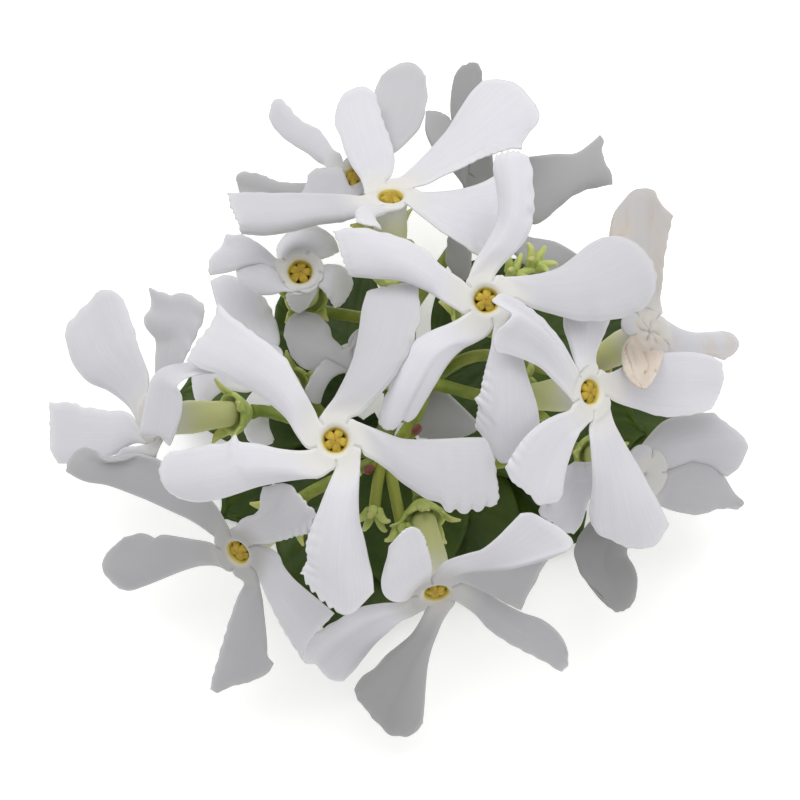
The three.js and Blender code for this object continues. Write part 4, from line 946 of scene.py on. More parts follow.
class Lobe:
    """The middle surface of one lobe, in its bloom's frame."""

    def __init__(self, seat, bloom, slot, entry, random, ruffle):
        self.values = {**LOBE, **entry}
        self.seat = seat
        self.slot_angle = math.radians(bloom["turn"] + 360 / SLOTS * slot)
        self.parting = bloom.get("notch", NOTCH)
        root = self.slot_angle + math.radians(self.values["swing"])
        rise_broad, rise_narrow = pair(self.values["rise"])
        broad = seat.from_plan(self.values["broad"], rise_broad)
        narrow = seat.from_plan(self.values["narrow"], rise_narrow)
        end = mix(narrow, broad, SHARE)
        outward, _ = spoke(root)
        start = outward * LOBE_ROOT
        handle = start + outward * LEAD * math.hypot(end[0], end[1]) + (0, 0, self.values["arch"])
        if self.values["handle"]:
            x, y, rise = self.values["handle"]
            handle = seat.from_plan((x, y), rise)
        self.rib = Midrib(start, handle, end)
        across = np.cross(self.rib.along[-1], self.rib.normals[-1])
        self.sides = []
        for k, corner in enumerate((broad, narrow)):
            edge = corner - end
            out, up = edge @ across, edge @ self.rib.normals[-1]
            self.sides.append(dict(
                out=out, up=up, width=math.hypot(out, up),
                past=edge @ self.rib.along[-1] / self.rib.length,
                curl=ROLL * math.radians(pair(self.values["curl"])[k]),
                flare=pair(self.values["flare"])[k], belly=pair(self.values["belly"])[k]))
        a, b = self.sides
        self.roll = math.atan2(a["up"] - b["up"], a["out"] - b["out"])
        self.ruffle = ruffle
        self.wave, self.notch, self.swell = Wobble(random), Wobble(random), Wobble(random)
        self.phase = random.uniform(0, 2 * math.pi)

    def side(self, name, broad):
        a, b = self.sides
        return np.where(broad, a[name], b[name])

    def surface(self, t, s):
        """Points at places across the lobe, from -1 on its narrow edge to 1 on its broad one, and along
        it, from 0 to 1."""
        made, reach, flat, along = self.form(t, s)
        v = self.values
        if v["outline"]:
            line = np.linspace(-1, 1, ROOT_POINTS)
            sector = self.slot_angle + EYE_TURN - math.pi / SLOTS * line
            notches = self.parting * np.stack([np.cos(sector), np.sin(sector), 0 * line], axis=-1)
            root = self.seat.plan_of(notches)[0]
            broad, end, narrow = v["outline"]
            late = (self.parting - THROAT[-1][0]) / self.rib.length
            freed = over_zero(s - late) / over_zero(1 - late)
            made = self.seat.moved_in_plan(made, patch(broad, end, narrow, (line, root), t, freed))
        crest = SCALLOPS * self.crest(reach)
        frill = self.ruffle * v["frill"] * ease(t, *FRILLED_ACROSS) * self.outer(reach) * np.cos(crest)
        teeth = np.abs(np.sin(math.pi * (TEETH * t + 0.3 * self.notch(t))))
        teeth = v["teeth"] * (teeth - TOOTH_MIDDLE)
        uneven = (v["ragged"] * self.notch(t, 1.6) * ease(s, *RAGGED_ALONG)
                  + teeth * ease(s, *TEETH_ALONG) * ease(t, *TEETH_ACROSS))
        return made + flat * frill[..., None] + along * uneven[..., None]

    def crest(self, reach):
        return 2 * math.pi * self.values["waves"] * (reach + 0.06 * self.wave(reach, 1.5)) + self.phase

    def fold(self, t, reach):
        """The height of the folds of a shrivelled lobe, from -1 to 1."""
        uneven = FOLD_SLANT[0] * self.wave(reach, 1.1) + FOLD_SLANT[1] * self.swell(t + reach, 0.8)
        return np.sin(2 * math.pi * (FOLDS * t + uneven)) * ease(reach, *PLEATED_ALONG)

    def outer(self, reach):
        return ease(reach, self.values["frilled"], self.values["frilled"] + RUFFLES_IN)

    def form(self, t, s):
        """The lobe's form as the solid has it, with its waves and rolls. Returns its points, how far each
        is along the midrib, and the ways across and along the lobe there."""
        v = self.values
        broad = t > 0
        share = np.abs(t)
        past = self.side("past", broad) * share ** CORNER + v["bulge"] * (1 - share * share)
        reach = (past + 1) * s
        point, along, normal = self.rib.at(reach)
        across = np.cross(along, normal)
        turn = mix(math.radians(v["twist"]), self.roll, ease(reach, 0, 1))[..., None]
        flat = across * np.cos(turn) + normal * np.sin(turn)
        above = normal * np.cos(turn) - across * np.sin(turn)
        belly = self.side("belly", broad) * np.sin(math.pi * np.minimum(reach, 1)) ** 2
        widening = ease(reach, WIDENS, self.side("flare", broad))
        width = mix(NECK * v["neck"], self.side("width", broad), widening) + belly
        bend = self.side("curl", broad) * ease(reach, 0, CURLED) / np.maximum(width, SLACK)
        bend = np.where(np.abs(bend) < LEAST_BEND, LEAST_BEND, bend)
        run = share * width
        out = np.sin(bend * run) / bend
        up = (1 - np.cos(bend * run)) / bend
        up = up + math.tan(math.radians(v["fold"])) * run * ease(reach, *FOLDED_ALONG)
        # Waves along the broad side, an uneven roll of the whole and the folds of a shrivelled lobe.
        waves = np.sin(self.crest(reach)) + 0.8 * self.wave(reach, 2.2)
        up = up + self.ruffle * v["ruffle"] * ease(t, *RUFFLED_ACROSS) * self.outer(reach) * waves
        up = up + UNEVEN * self.swell(reach + 0.35 * t, 0.9) * ease(reach, *ROLLED_ALONG) * share
        up = up + v["pleated"] * self.fold(t, reach)
        return point + flat * (out * np.sign(t))[..., None] + above * up[..., None], reach, flat, along


def fanned(reach, angle, height):
    """Points at distances and angles round a bloom's axis."""
    return np.stack([reach * np.cos(angle), reach * np.sin(angle), height], axis=-1)


def corolla_shell(seat, bloom, random, ruffle):
    """The lobes, the eye and the throat's wall as one surface. Returns its points, its quads and, for each
    point, how far it is along its lobe, across it, inside the throat and to a thin edge (rim), how far it
    is painted grey as painted shade and how tan it is (shade, tan), and how far down in a crease it lies."""
    rows, columns = NEAR_GRID if bloom["height"] > DEEP else FAR_GRID
    if bloom in BLOOMS[:FOREMOST]:
        rows, columns = FINE_GRID
    steps = columns - 1
    around = SLOTS * steps
    radii, heights = np.array(THROAT).T
    first_angle = math.radians(bloom["turn"]) + EYE_TURN
    angles = first_angle + angles_round(around)
    corners = 1 + STAR * np.cos(SLOTS * (angles - first_angle))
    reaches = radii[:, None] * mix(1, corners[None, :], ease(-heights, *STAR_DEPTHS)[:, None])
    # An old bloom's throat is drawn shut.
    shut = bloom.get("shut", 0.0)
    drawn = shut * ease(radii[-1] - radii, 0.0, SHUT_RIM)
    reaches = reaches * (1 - SHUT * drawn[:, None])
    # The eye of a withered one is crumpled.
    withered = bloom.get("wilt", 0.0) * np.sin(math.pi * ease(radii, radii[0], radii[-1]))[:, None]
    folds = withered * np.sin(CRUMPLES * angles + CRUMPLE_TWIST * radii[:, None] + np.cos(2 * angles))
    ring = fanned(reaches, angles, heights[:, None] + CRUMPLED * folds)
    inside = (1 - ease(radii, *YELLOW)) * (1 - shut)
    ring_index = np.arange(len(radii) * around).reshape(len(radii), around)
    points = [ring.reshape(-1, 3)]
    faces = [grid_faces(np.column_stack([ring_index, ring_index[:, 0]]))]
    count = ring_index.size
    # Painted shade: how far the bloom's lobes are painted grey where they lie in shade or face away from the
    # light.
    painted_shade = bloom.get("shade", 0.0)
    none = np.zeros(count)
    values = dict(along=[none], across=[none], throat=[np.repeat(inside, around)], rim=[none],
                  shade=[none + painted_shade], tan=[none + bloom.get("tan", 0.0)],
                  crease=[EYE_CREASE * ease(-folds, 0.4, 1).ravel()])
    t = np.ones((rows, 1)) * np.linspace(-1, 1, columns)
    u = (np.arange(1, rows + 1) / rows)[:, None] * np.ones(columns)
    for slot in range(SLOTS):
        middle = first_angle + 2 * math.pi / SLOTS * slot
        sector = middle - math.pi / SLOTS * t
        entry = bloom["lobes"].get(slot)
        if entry:
            # The rows lie closer together near the eye.
            s = 0.6 * u + 0.4 * u * u
            lobe = Lobe(seat, bloom, slot, entry, random, ruffle)
            length = lobe.rib.length
            made = lobe.surface(t, s)
        else:
            # A short round flap, where the lobe has dropped or never shows.
            s = u
            length = STUB * np.sqrt(1 - 0.9 * t * t)
            made = fanned(radii[-1] + s * length, sector, heights[-1] - STUB_DROOP * s * s)
        fan = fanned(radii[-1] + s * length, sector, heights[-1] * (1 - s))
        leaving = ease(s * length, *LEAVING)[..., None]
        lifting = ease(s * length, *LIFTING)[..., None]
        plan = mix(seat.plan_of(fan)[0], seat.plan_of(made)[0], leaving)
        made = seat.moved_in_plan(mix(fan, made, lifting), plan)
        index = count + np.arange(rows * columns).reshape(rows, columns)
        numbers = (slot * steps + steps // 2 - np.arange(columns)) % around
        first = ring_index[-1, numbers]
        points.append(made.reshape(-1, 3))
        faces.append(grid_faces(np.vstack([first, index]))[:, ::-1])
        tan, crease = (entry or {}).get("tan", 0.0), 0 * s
        if tan:
            crease = tan * ease(-lobe.fold(t, s), *CREASED) * ease(lobe.notch(s + t, 1.3), -0.3, 0.4)
        # A lobe's own painted shade, which may differ between its halves, takes over from its bloom's a
        # little way out from the eye.
        broad_shade, narrow_shade = pair((entry or {}).get("shade", painted_shade))
        own = mix(narrow_shade, broad_shade, ease(t, *SHADED_ACROSS))
        rim = np.maximum(ease(np.abs(t), *THINNED_ACROSS), ease(s, *THINNED_ALONG))
        here = dict(along=s, across=t, throat=0 * s, rim=rim, tan=tan + 0 * s, crease=crease,
                    shade=mix(painted_shade, own, ease(s, *SHADED_ALONG)))
        for kind, rows_of in values.items():
            rows_of.append(here[kind].ravel())
        count += index.size
    return np.vstack(points), np.vstack(faces), {kind: np.concatenate(v) for kind, v in values.items()}


def corolla(number, bloom, sizes, material):
    random = np.random.default_rng(100 + number)
    seat = BloomFrame(bloom)
    points, faces, values = corolla_shell(seat, bloom, random, sizes.ruffle)
    thin = np.maximum(values["rim"], values["throat"])
    thickness = mix(sizes.petal_thickness, sizes.edge_thickness, thin) / MM
    shell, quads = thickened(points, faces, thickness)
    wilt = bloom.get("wilt", 0.0)
    # Painted shade: the throat is painted darker the deeper it lies under the eye.
    values["deep"] = ease(-points[:, 2], *THROAT_SHADE_DEPTHS) * values["throat"]
    values["wilt"] = wilt * (1 - 0.6 * values["along"])
    parts = Parts(("along", "across", "throat", "rim", "tube", "wilt", "deep", "shade", "tan",
                   "crease"))
    parts.add(seat.to_part(shell), quads, **{kind: np.tile(v, 2) for kind, v in values.items()})
    tube, walls = turned(TUBE, TUBE_SIDES)
    over, near = TUBE_INSIDE
    inner = (tube[:, 2] > over) & (np.hypot(tube[:, 0], tube[:, 1]) < near)
    # The tube's inner wall has the throat's yellow, with painted shade over all of it.
    parts.add(seat.to_part(tube), walls, tube=ease(-tube[:, 2], *TUBE_GREEN), throat=inner, wilt=wilt,
              deep=inner)
    piece = parts.piece(f"bloom_{number:02d}_petals", material)
    return dressed(piece, f"corolla_{number:02d}")


# ---------------------------------------------------------------------------------------------------
# Anthers and calyx

def anther_cone(number, bloom, material):
    seat = BloomFrame(bloom)
    random = np.random.default_rng(300 + number)
    parts = Parts(("tip",))
    rows, sides = ANTHER_GRID
    s = np.linspace(0, 1, rows)
    angles = angles_round(sides)
    groove_depth, groove_width = GROOVE
    groove = 1 - groove_depth * np.exp(-((np.mod(angles, math.pi) - math.pi / 2) / groove_width) ** 2)
    full = np.sin(math.pi * (0.12 + 0.86 * s) ** 0.9) ** 0.6
    shut = bloom.get("shut", 0.0)
    sunk = np.array([0, 0, -ANTHER_SUNK * shut])
    for k in range(SLOTS):
        stray = random.uniform(-ANTHER_STRAY, ANTHER_STRAY)
        outward, aside = spoke(math.radians(bloom["turn"]) + 2 * math.pi * (k + stray) / SLOTS)
        foot = outward * ANTHER_FOOT[0] * (1 - ANTHER_DRAWN * shut) + (0, 0, ANTHER_FOOT[1]) + sunk
        height = ANTHER_TIP[1] + random.uniform(-ANTHER_STRAY, ANTHER_STRAY)
        tip = outward * ANTHER_TIP[0] + (0, 0, height) + sunk
        bow = ANTHER_BOW * np.sin(math.pi * s)[:, None] * outward
        spine = foot + (tip - foot) * s[:, None] + bow
        above = unit(np.cross(tip - foot, aside))
        ring = (np.cos(angles)[None, :, None] * aside * ANTHER_HALF[0]
                + (np.sin(angles) * groove)[None, :, None] * above * ANTHER_HALF[1])
        points = (spine[:, None, :] + ring * full[:, None, None]).reshape(-1, 3)
        points = np.vstack([points, foot, tip])
        heights = np.concatenate([np.repeat(s, sides), [0, 1]])
        parts.add(seat.to_part(points), closed_faces(rows, sides), tip=heights)
    piece = parts.piece(f"bloom_{number:02d}_anthers", material)
    return dressed(piece, f"anthers_{number:02d}")


def calyx(number, bloom, material):
    seat = BloomFrame(bloom)
    random = np.random.default_rng(500 + number)
    parts = Parts(("tip",))
    points, faces = turned(CUP, CUP_SIDES)
    parts.add(seat.to_part(points), faces)
    rows, columns = SEPAL_GRID
    path = quadratic(*(np.array([radius, 0.0, z]) for radius, z in SEPAL_PATH), rows - 1)
    s = np.linspace(0, 1, rows)
    t = np.linspace(-1, 1, columns)[None, :]
    half = np.interp(s, (0, 0.5, 1), SEPAL_HALVES)[:, None]
    for k in range(SLOTS):
        outward, aside = spoke(2 * math.pi * (k + SEPAL_TURN) / SLOTS)
        lift = random.uniform(*SEPAL_LIFT) * ease(s, 0.5, 1)
        rolled = SEPAL_ROLL * half * t * t
        places = (outward * path[:, :1] + (0, 0, 1) * (path[:, 2] + lift)[:, None])[:, None, :]
        places = places + aside * (half * t)[..., None] + outward * (-rolled)[..., None]
        thick = np.repeat(mix(*SEPAL_THICK, s ** 2), columns)
        shell, quads = thickened(places.reshape(-1, 3), sheet_faces(rows, columns), thick)
        parts.add(seat.to_part(shell), quads, tip=np.tile(np.repeat(s, columns), 2))
    piece = parts.piece(f"bloom_{number:02d}_calyx", material)
    return dressed(piece, f"calyx_{number:02d}")


def shoots(material):
    """Bare calyces and young buds on thin stalks of their own."""
    parts = Parts(("tip", "blush", "stalk"))
    for shoot in SHOOTS:
        path = smooth_curve(from_head([FORKS[shoot["fork"]], *shoot["places"]]), SHOOT_STEPS)
        run = run_along(path)
        left = (run[-1] - run) / BUD_LENGTH  # distance from the stalk's end, in buds
        radius = SHOOT[shoot["end"]]
        if shoot["end"] == "bud":
            shape = np.sin(math.pi * np.clip(left, 0, 1) ** 0.6)
            radii = np.where(left < 1, radius * np.minimum(1, 3 * left) + BUD_SWELL * shape, radius)
            points, faces = swept(path, np.maximum(radii, BUD_TIP), STALK_SIDES)
            blush = np.repeat(1 - ease(left, 0.5, 1.1), STALK_SIDES)
            parts.add(points, faces, blush=np.concatenate([blush, [0, 1]]), stalk=1.0)
            continue
        widening, share = HOOK_SEAT
        points, faces = swept(path, radius * (1 + widening * ease(-left, -share, 0)), STALK_SIDES)
        parts.add(points, faces, stalk=1.0)
        way = unit(path[-1] - path[-2])
        side = unit(np.cross(way, (0.2, 0.3, 1.0)))
        other = np.cross(way, side)
        steps, sides = HOOK_GRID
        for angle in angles_round(HOOKS):
            outward = side * math.cos(angle) + other * math.sin(angle)
            bend = quadratic(*(path[-1] + outward * out + way * up for out, up in HOOK_PATH), steps)
            s = np.linspace(0, 1, len(bend))
            points, faces = swept(bend, mix(*HOOK_RADII, s), sides)
            parts.add(points, faces, tip=np.concatenate([np.repeat(s, sides), [0, 1]]))
    return dressed(parts.piece("side_shoots", material))


# ---------------------------------------------------------------------------------------------------
# Stem and leaves

def stem(material):
    parts = Parts()
    count, sides = MAIN_GRID
    y = np.linspace(MAIN_Y[1], MAIN_Y[0], count)
    radii = np.full(count, MAIN_RADIUS)
    middle = np.column_stack([np.full(count, HEAD_ORIGIN[0]), y, radii])
    parts.add(*swept(middle, radii, sides))
    for points, radius in BRANCHES:
        path = smooth_curve(from_head(points), STALK_STEPS)
        s = np.linspace(0, 1, len(path))
        waist = (1 + BRANCH_WAIST) - BRANCH_WAIST * np.sin(math.pi * s)
        parts.add(*swept(path, radius * waist, STALK_SIDES))
    for k, bloom in enumerate(BLOOMS):
        fork, by = CARRIED[k]
        seat = BloomFrame(bloom)
        places = [from_head(FORKS[fork])] + ([from_head(by)] if by else [])
        places += [seat.to_part((0, 0, -CUP_FOOT - PEDICEL_LEAD)), seat.to_part((0, 0, -CUP_FOOT - SEAM))]
        path = smooth_curve(places, STALK_STEPS)
        s = np.linspace(0, 1, len(path))
        swell = 1 + SWELL * ease(s, 0.7, 1) + PEDICEL_ROOT * ease(-s, -0.25, 0)
        parts.add(*swept(path, PEDICEL * swell, STALK_SIDES))
    piece = parts.piece("stalks", material)
    joined = piece.modifiers.new("joined", "REMESH")
    joined.mode = "VOXEL"
    joined.voxel_size = STALK_VOXEL * MM
    joined.use_smooth_shade = True
    settled = piece.modifiers.new("settled", "SMOOTH")
    settled.iterations = 3
    apply_modifiers(piece)
    return dressed(piece, node="stem")


def apply_modifiers(piece):
    graph = bpy.context.evaluated_depsgraph_get()
    mesh = bpy.data.meshes.new_from_object(piece.evaluated_get(graph))
    piece.modifiers.clear()
    piece.data = mesh
    mesh.polygons.foreach_set("use_smooth", np.ones(len(mesh.polygons), bool))


def leaf(number, material):
    start_plan, end_plan, width, heights = LEAVES[number - 1]
    hand = -1 if number % 2 else 1
    start, end = on_floor(start_plan, heights[0]), on_floor(end_plan, heights[2])
    low = (start + end) / 2
    low[2] = 2 * heights[1] - (heights[0] + heights[2]) / 2
    rows, columns = LEAF_GRID
    s = np.linspace(0, 1, rows)[:, None]
    t = np.linspace(-1, 1, columns)[None, :]
    spine = quadratic(start, low, end, rows - 1)
    way = unit((end - start) * (1, 1, 0))
    across = np.cross(way, (0, 0, 1))
    opened = np.maximum((s - LEAF_STALK_SHARE) / (1 - LEAF_STALK_SHARE), 0)
    oval = np.sin(math.pi * np.minimum(opened ** LEAF_EARLY, 1)) ** LEAF_FULL
    half = LEAF_STALK + (width / 2 - LEAF_STALK) * oval
    narrowing, least = LEAF_POINT
    half = half * np.clip((1 - s) * narrowing, least, 1)
    lateral = s + 0 * t
    dish = LEAF_DISH * t * t * (2 * half / width)
    wave = LEAF_WAVE * t * t * np.sin(LEAF_TURNS * math.pi * lateral + hand * t)
    # Side veins leave the midrib slanting to the tip, and the blade puffs up a little between them.
    place = (lateral - VEIN_SLANT * np.abs(t) ** VEIN_BOW - LEAF_STALK_SHARE) * VEINS / 0.9
    near = np.abs(place - np.round(place))
    side_vein = np.exp(-(near / VEIN_HALF) ** 2) * ease(1 - np.abs(t), 0.03, 0.25) * ease(lateral, 0.1, 0.2)
    midrib = np.exp(-(t * half / MIDRIB_HALF) ** 2)
    puff = -PUFF * np.cos(2 * math.pi * place) * ease(np.abs(t), 0.05, 0.3) * (1 - t ** 4)
    depth, paleness = SIDE_VEIN
    up = dish + wave + puff - VEIN_DEPTH * np.maximum(side_vein * depth, midrib)
    points = spine[:, None, :] + across * (t * half)[..., None] + np.array([0, 0, 1.0]) * up[..., None]
    thick = (LEAF * (1 - LEAF_RIM * ease(np.abs(t), 0.8, 1)) + 0 * s).ravel()
    shell, quads = thickened(points.reshape(-1, 3), sheet_faces(rows, columns), thick)
    shell[:, 2] = np.maximum(shell[:, 2], 0.0)
    parts = Parts(("vein", "along", "across"))
    parts.add(shell, quads, vein=np.tile(np.maximum(side_vein * paleness, midrib).ravel(), 2),
              along=np.tile(lateral.ravel(), 2), across=np.tile((t + 0 * s).ravel(), 2))
    node = f"leaf_{number}" if number <= SOLID_LEAVES else None
    return dressed(parts.piece(f"leaf_blade_{number}", material), node)


# ---------------------------------------------------------------------------------------------------
# Finishes

class Nodes:
    """Adds and links the nodes of a material or of a node group."""

    def __init__(self, tree):
        self.tree = tree

    def feed(self, socket, value):
        """Links a node's output to a socket, or sets the socket to a plain value."""
        if isinstance(value, bpy.types.NodeSocket):
            self.tree.links.new(value, socket)
        else:
            socket.default_value = value

    def add(self, kind, inputs=None, **settings):
        node = self.tree.nodes.new(kind)
        for name, value in settings.items():
            setattr(node, name, value)
        for name, value in (inputs or {}).items():
            self.feed(node.inputs[name], value)
        return node

    def math(self, operation, a, b=0.0, clamp=False):
        return self.add("ShaderNodeMath", {0: a, 1: b}, operation=operation, use_clamp=clamp).outputs[0]

    def blend(self, share, a, b, kind="MIX"):
        node = self.add("ShaderNodeMix", data_type="RGBA", blend_type=kind, clamp_factor=True)
        for name, value in (("Factor", share), ("A", a), ("B", b)):
            self.feed(next(s for s in node.inputs if s.name == name and s.enabled), value)
        return next(s for s in node.outputs if s.enabled)

    def ramp(self, value, low, high, to_low=0.0, to_high=1.0):
        inputs = {"Value": value, "From Min": low, "From Max": high, "To Min": to_low, "To Max": to_high}
        return self.add("ShaderNodeMapRange", inputs, interpolation_type="SMOOTHSTEP").outputs[0]

    def attribute(self, name):
        return self.add("ShaderNodeAttribute", attribute_name=name).outputs["Fac"]


def rgba(colour, factors=(1.0, 1.0, 1.0)):
    """A colour, made darker or lighter by a factor for each of its channels."""
    return (*(value * factor for value, factor in zip(colour, factors)), 1.0)


def group(name, inputs, outputs):
    """An empty shader node group, with its two ends."""
    tree = bpy.data.node_groups.new(name, "ShaderNodeTree")
    for label, kind, default in inputs:
        socket = tree.interface.new_socket(label, in_out="INPUT", socket_type=kind)
        socket.default_value = default
    for label, kind in outputs:
        tree.interface.new_socket(label, in_out="OUTPUT", socket_type=kind)
    nodes = Nodes(tree)
    return nodes, nodes.add("NodeGroupInput"), nodes.add("NodeGroupOutput")


def streaks_group():
    """Fine uneven lines that run along a blade."""
    nodes, given, out = group("Streaks", [
        ("Across", "NodeSocketFloat", 0.0), ("Along", "NodeSocketFloat", 0.0),
        ("Lines", "NodeSocketFloat", 16.0), ("Drift", "NodeSocketFloat", 1.2)],
        [("Value", "NodeSocketFloat")])
    wide = nodes.math("MULTIPLY", given.outputs["Across"], given.outputs["Lines"])
    long = nodes.math("MULTIPLY", given.outputs["Along"], given.outputs["Drift"])
    place = nodes.add("ShaderNodeCombineXYZ", {"X": wide, "Y": long, "Z": 0.0}).outputs[0]
    noise = nodes.add("ShaderNodeTexNoise", {"Vector": place, "Scale": 1.0, "Detail": 3.0,
                                             "Roughness": 0.6})
    nodes.feed(out.inputs["Value"], noise.outputs["Fac"])
    return nodes.tree


def mottle_group():
    """Soft patches in the sprig's own space, at two sizes."""
    nodes, given, out = group("Mottle", [
        ("Patches per metre", "NodeSocketFloat", 300.0), ("Grain per metre", "NodeSocketFloat", 2500.0)],
        [("Patches", "NodeSocketFloat"), ("Grain", "NodeSocketFloat")])
    place = nodes.add("ShaderNodeTexCoord").outputs["Object"]
    for rate, label, detail in (("Patches per metre", "Patches", 3.0), ("Grain per metre", "Grain", 2.0)):
        noise = nodes.add("ShaderNodeTexNoise", {"Vector": place, "Scale": given.outputs[rate],
                                                 "Detail": detail, "Roughness": 0.55})
        nodes.feed(out.inputs[label], noise.outputs["Fac"])
    return nodes.tree


def new_material(name, finish):
    """A new material with its node helper and its Principled shader, set by the finish's constants."""
    made = bpy.data.materials.new(name)
    made.use_nodes = True
    nodes = Nodes(made.node_tree)
    shader = made.node_tree.nodes["Principled BSDF"]
    for socket, value in finish.items():
        shader.inputs[socket].default_value = value
    return made, nodes, shader


def placed_group(nodes, tree, **inputs):
    node = nodes.add("ShaderNodeGroup", node_tree=tree)
    for label, value in inputs.items():
        nodes.feed(node.inputs[label.replace("_", " ")], value)
    return node


def mottled(nodes, mottle, colour, factors, patches, grain, low=0.35):
    """A colour with soft patches of a darker or lighter one. Returns it with the finish's grain."""
    spots = placed_group(nodes, mottle, Patches_per_metre=patches, Grain_per_metre=grain)
    share = nodes.ramp(spots.outputs["Patches"], low, 0.7)
    return nodes.blend(share, rgba(colour), rgba(colour, factors)), spots.outputs["Grain"]


def tinted(nodes, colour, share, tint):
    return nodes.blend(share, colour, rgba(TINTS[tint]))


def set_finish(nodes, shader, colour, grain, roughness):
    """Links a finish's colour, and its roughness where its grain is low and where it is high."""
    nodes.feed(shader.inputs["Base Color"], colour)
    nodes.feed(shader.inputs["Roughness"], nodes.ramp(grain, 0.3, 0.7, *roughness))


def set_bump(nodes, shader, height, strength, distance):
    node = nodes.add("ShaderNodeBump", {"Height": height, "Strength": strength, "Distance": distance})
    nodes.feed(shader.inputs["Normal"], node.outputs[0])


# Colours that the finishes blend in.
TINTS = dict(
    cream=(0.7, 0.68, 0.58),  # the root of a lobe
    white=(0.72, 0.72, 0.735),  # its rim
    painted_shade=(0.3, 0.3, 0.3),  # a lobe in full shade
    green=(0.56, 0.58, 0.24),  # the foot of the tube
    yellow=(0.8, 0.74, 0.46),  # round the throat
    throat_shade_colour=(0.27, 0.17, 0.03),  # painted shade deep in the throat and inside the tube
    tired=(0.56, 0.47, 0.37),  # blotches of an old bloom
    tan=(0.6, 0.52, 0.44),
    crease=(0.42, 0.29, 0.19),
    anther_tip=(0.42, 0.25, 0.035),
    sepal_tip=(0.6, 0.62, 0.25),
    bud=(0.2, 0.06, 0.05),
    bark=(0.3, 0.2, 0.06),  # flecks on the stalks
    pith=(0.62, 0.6, 0.4),
    wood=(0.42, 0.46, 0.16),
    vein=(0.04, 0.075, 0.018),
)
PITH = (0.35 * MM, 0.55 * MM)  # radii between which the cut end turns from pith to wood
CUT = (0.12, 0.06)  # distances from the cut end between which its colour sets in


def petal_material(colours, streaks, mottle):
    made, nodes, shader = new_material("Petal", {
        "Specular IOR Level": 0.3, "Subsurface Weight": 0.35, "Subsurface Scale": 0.7 * MM,
        "Subsurface Radius": (1.0, 0.95, 0.9), "Sheen Weight": 0.08, "Sheen Roughness": 0.5})
    along, across = nodes.attribute("along"), nodes.attribute("across")
    lines = placed_group(nodes, streaks, Across=across, Along=along, Lines=18.0, Drift=1.1).outputs[0]
    fine = placed_group(nodes, streaks, Across=across, Along=along, Lines=46.0, Drift=3.0).outputs[0]
    spots = placed_group(nodes, mottle, Patches_per_metre=260.0, Grain_per_metre=3600.0)
    patches = spots.outputs["Patches"]
    shade = rgba(colours.petal, (0.86, 0.86, 0.9))
    colour = nodes.blend(nodes.ramp(lines, 0.35, 0.75, 0.0, 0.35), rgba(colours.petal), shade)
    colour = nodes.blend(nodes.ramp(patches, 0.45, 0.75, 0.0, 0.25), colour, shade)
    # The root of a lobe is creamier, and its rim a little whiter.
    colour = tinted(nodes, colour, nodes.ramp(along, 0.0, 0.3, 0.5, 0.0), "cream")
    colour = tinted(nodes, colour, nodes.math("MULTIPLY", nodes.attribute("rim"), 0.3), "white")
    # Painted shade: a lobe that lies in shade is painted grey.
    colour = tinted(nodes, colour, nodes.attribute("shade"), "painted_shade")
    # The tube is greener towards its foot, and the throat is yellow.
    colour = tinted(nodes, colour, nodes.math("MULTIPLY", nodes.attribute("tube"), 0.95), "green")
    inside = nodes.attribute("throat")
    colour = tinted(nodes, colour, nodes.ramp(inside, 0.0, 0.8, 0.0, 0.4), "yellow")
    colour = nodes.blend(nodes.ramp(inside, 0.8, 1.0), colour, rgba(colours.throat))
    # Painted shade: the throat is painted darker towards its depths and inside the tube.
    colour = tinted(nodes, colour, nodes.attribute("deep"), "throat_shade_colour")
    # A lobe past its best is creased brown and flushed with pink.
    tired = nodes.math("MULTIPLY", nodes.attribute("wilt"), nodes.ramp(patches, 0.46, 0.66))
    colour = tinted(nodes, colour, nodes.math("MULTIPLY", tired, 0.6), "tired")
    for kind in ("tan", "crease"):
        colour = tinted(nodes, colour, nodes.attribute(kind), kind)
    set_finish(nodes, shader, colour, fine, (0.5, 0.62))
    height = nodes.math("ADD", nodes.math("MULTIPLY", lines, 0.6), nodes.math("MULTIPLY", fine, 0.4))
    set_bump(nodes, shader, height, 0.2, 0.1 * MM)
    return made


def anther_material(colours, mottle):
    made, nodes, shader = new_material("Anther", {
        "Specular IOR Level": 0.25, "Subsurface Weight": 0.1, "Subsurface Scale": 0.3 * MM})
    colour, grain = mottled(nodes, mottle, colours.anther, (0.6, 0.6, 0.6), 2500.0, 9000.0, low=0.4)
    tip = nodes.ramp(nodes.attribute("tip"), 0.55, 1.0, 0.0, 0.8)
    set_finish(nodes, shader, tinted(nodes, colour, tip, "anther_tip"), grain, (0.6, 0.85))
    set_bump(nodes, shader, grain, 0.5, 0.06 * MM)
    return made


def sepal_material(colours, mottle):
    made, nodes, shader = new_material("Sepal", {
        "Specular IOR Level": 0.35, "Subsurface Weight": 0.2, "Subsurface Scale": 0.5 * MM})
    colour, grain = mottled(nodes, mottle, colours.sepal, (0.62, 0.72, 0.5), 700.0, 5000.0)
    tip = nodes.ramp(nodes.attribute("tip"), 0.5, 1.0, 0.0, 0.7)
    colour = tinted(nodes, colour, tip, "sepal_tip")
    colour = nodes.blend(nodes.attribute("stalk"), colour, rgba(colours.stem))
    colour = tinted(nodes, colour, nodes.attribute("blush"), "bud")
    set_finish(nodes, shader, colour, grain, (0.42, 0.6))
    set_bump(nodes, shader, grain, 0.3, 0.06 * MM)
    return made


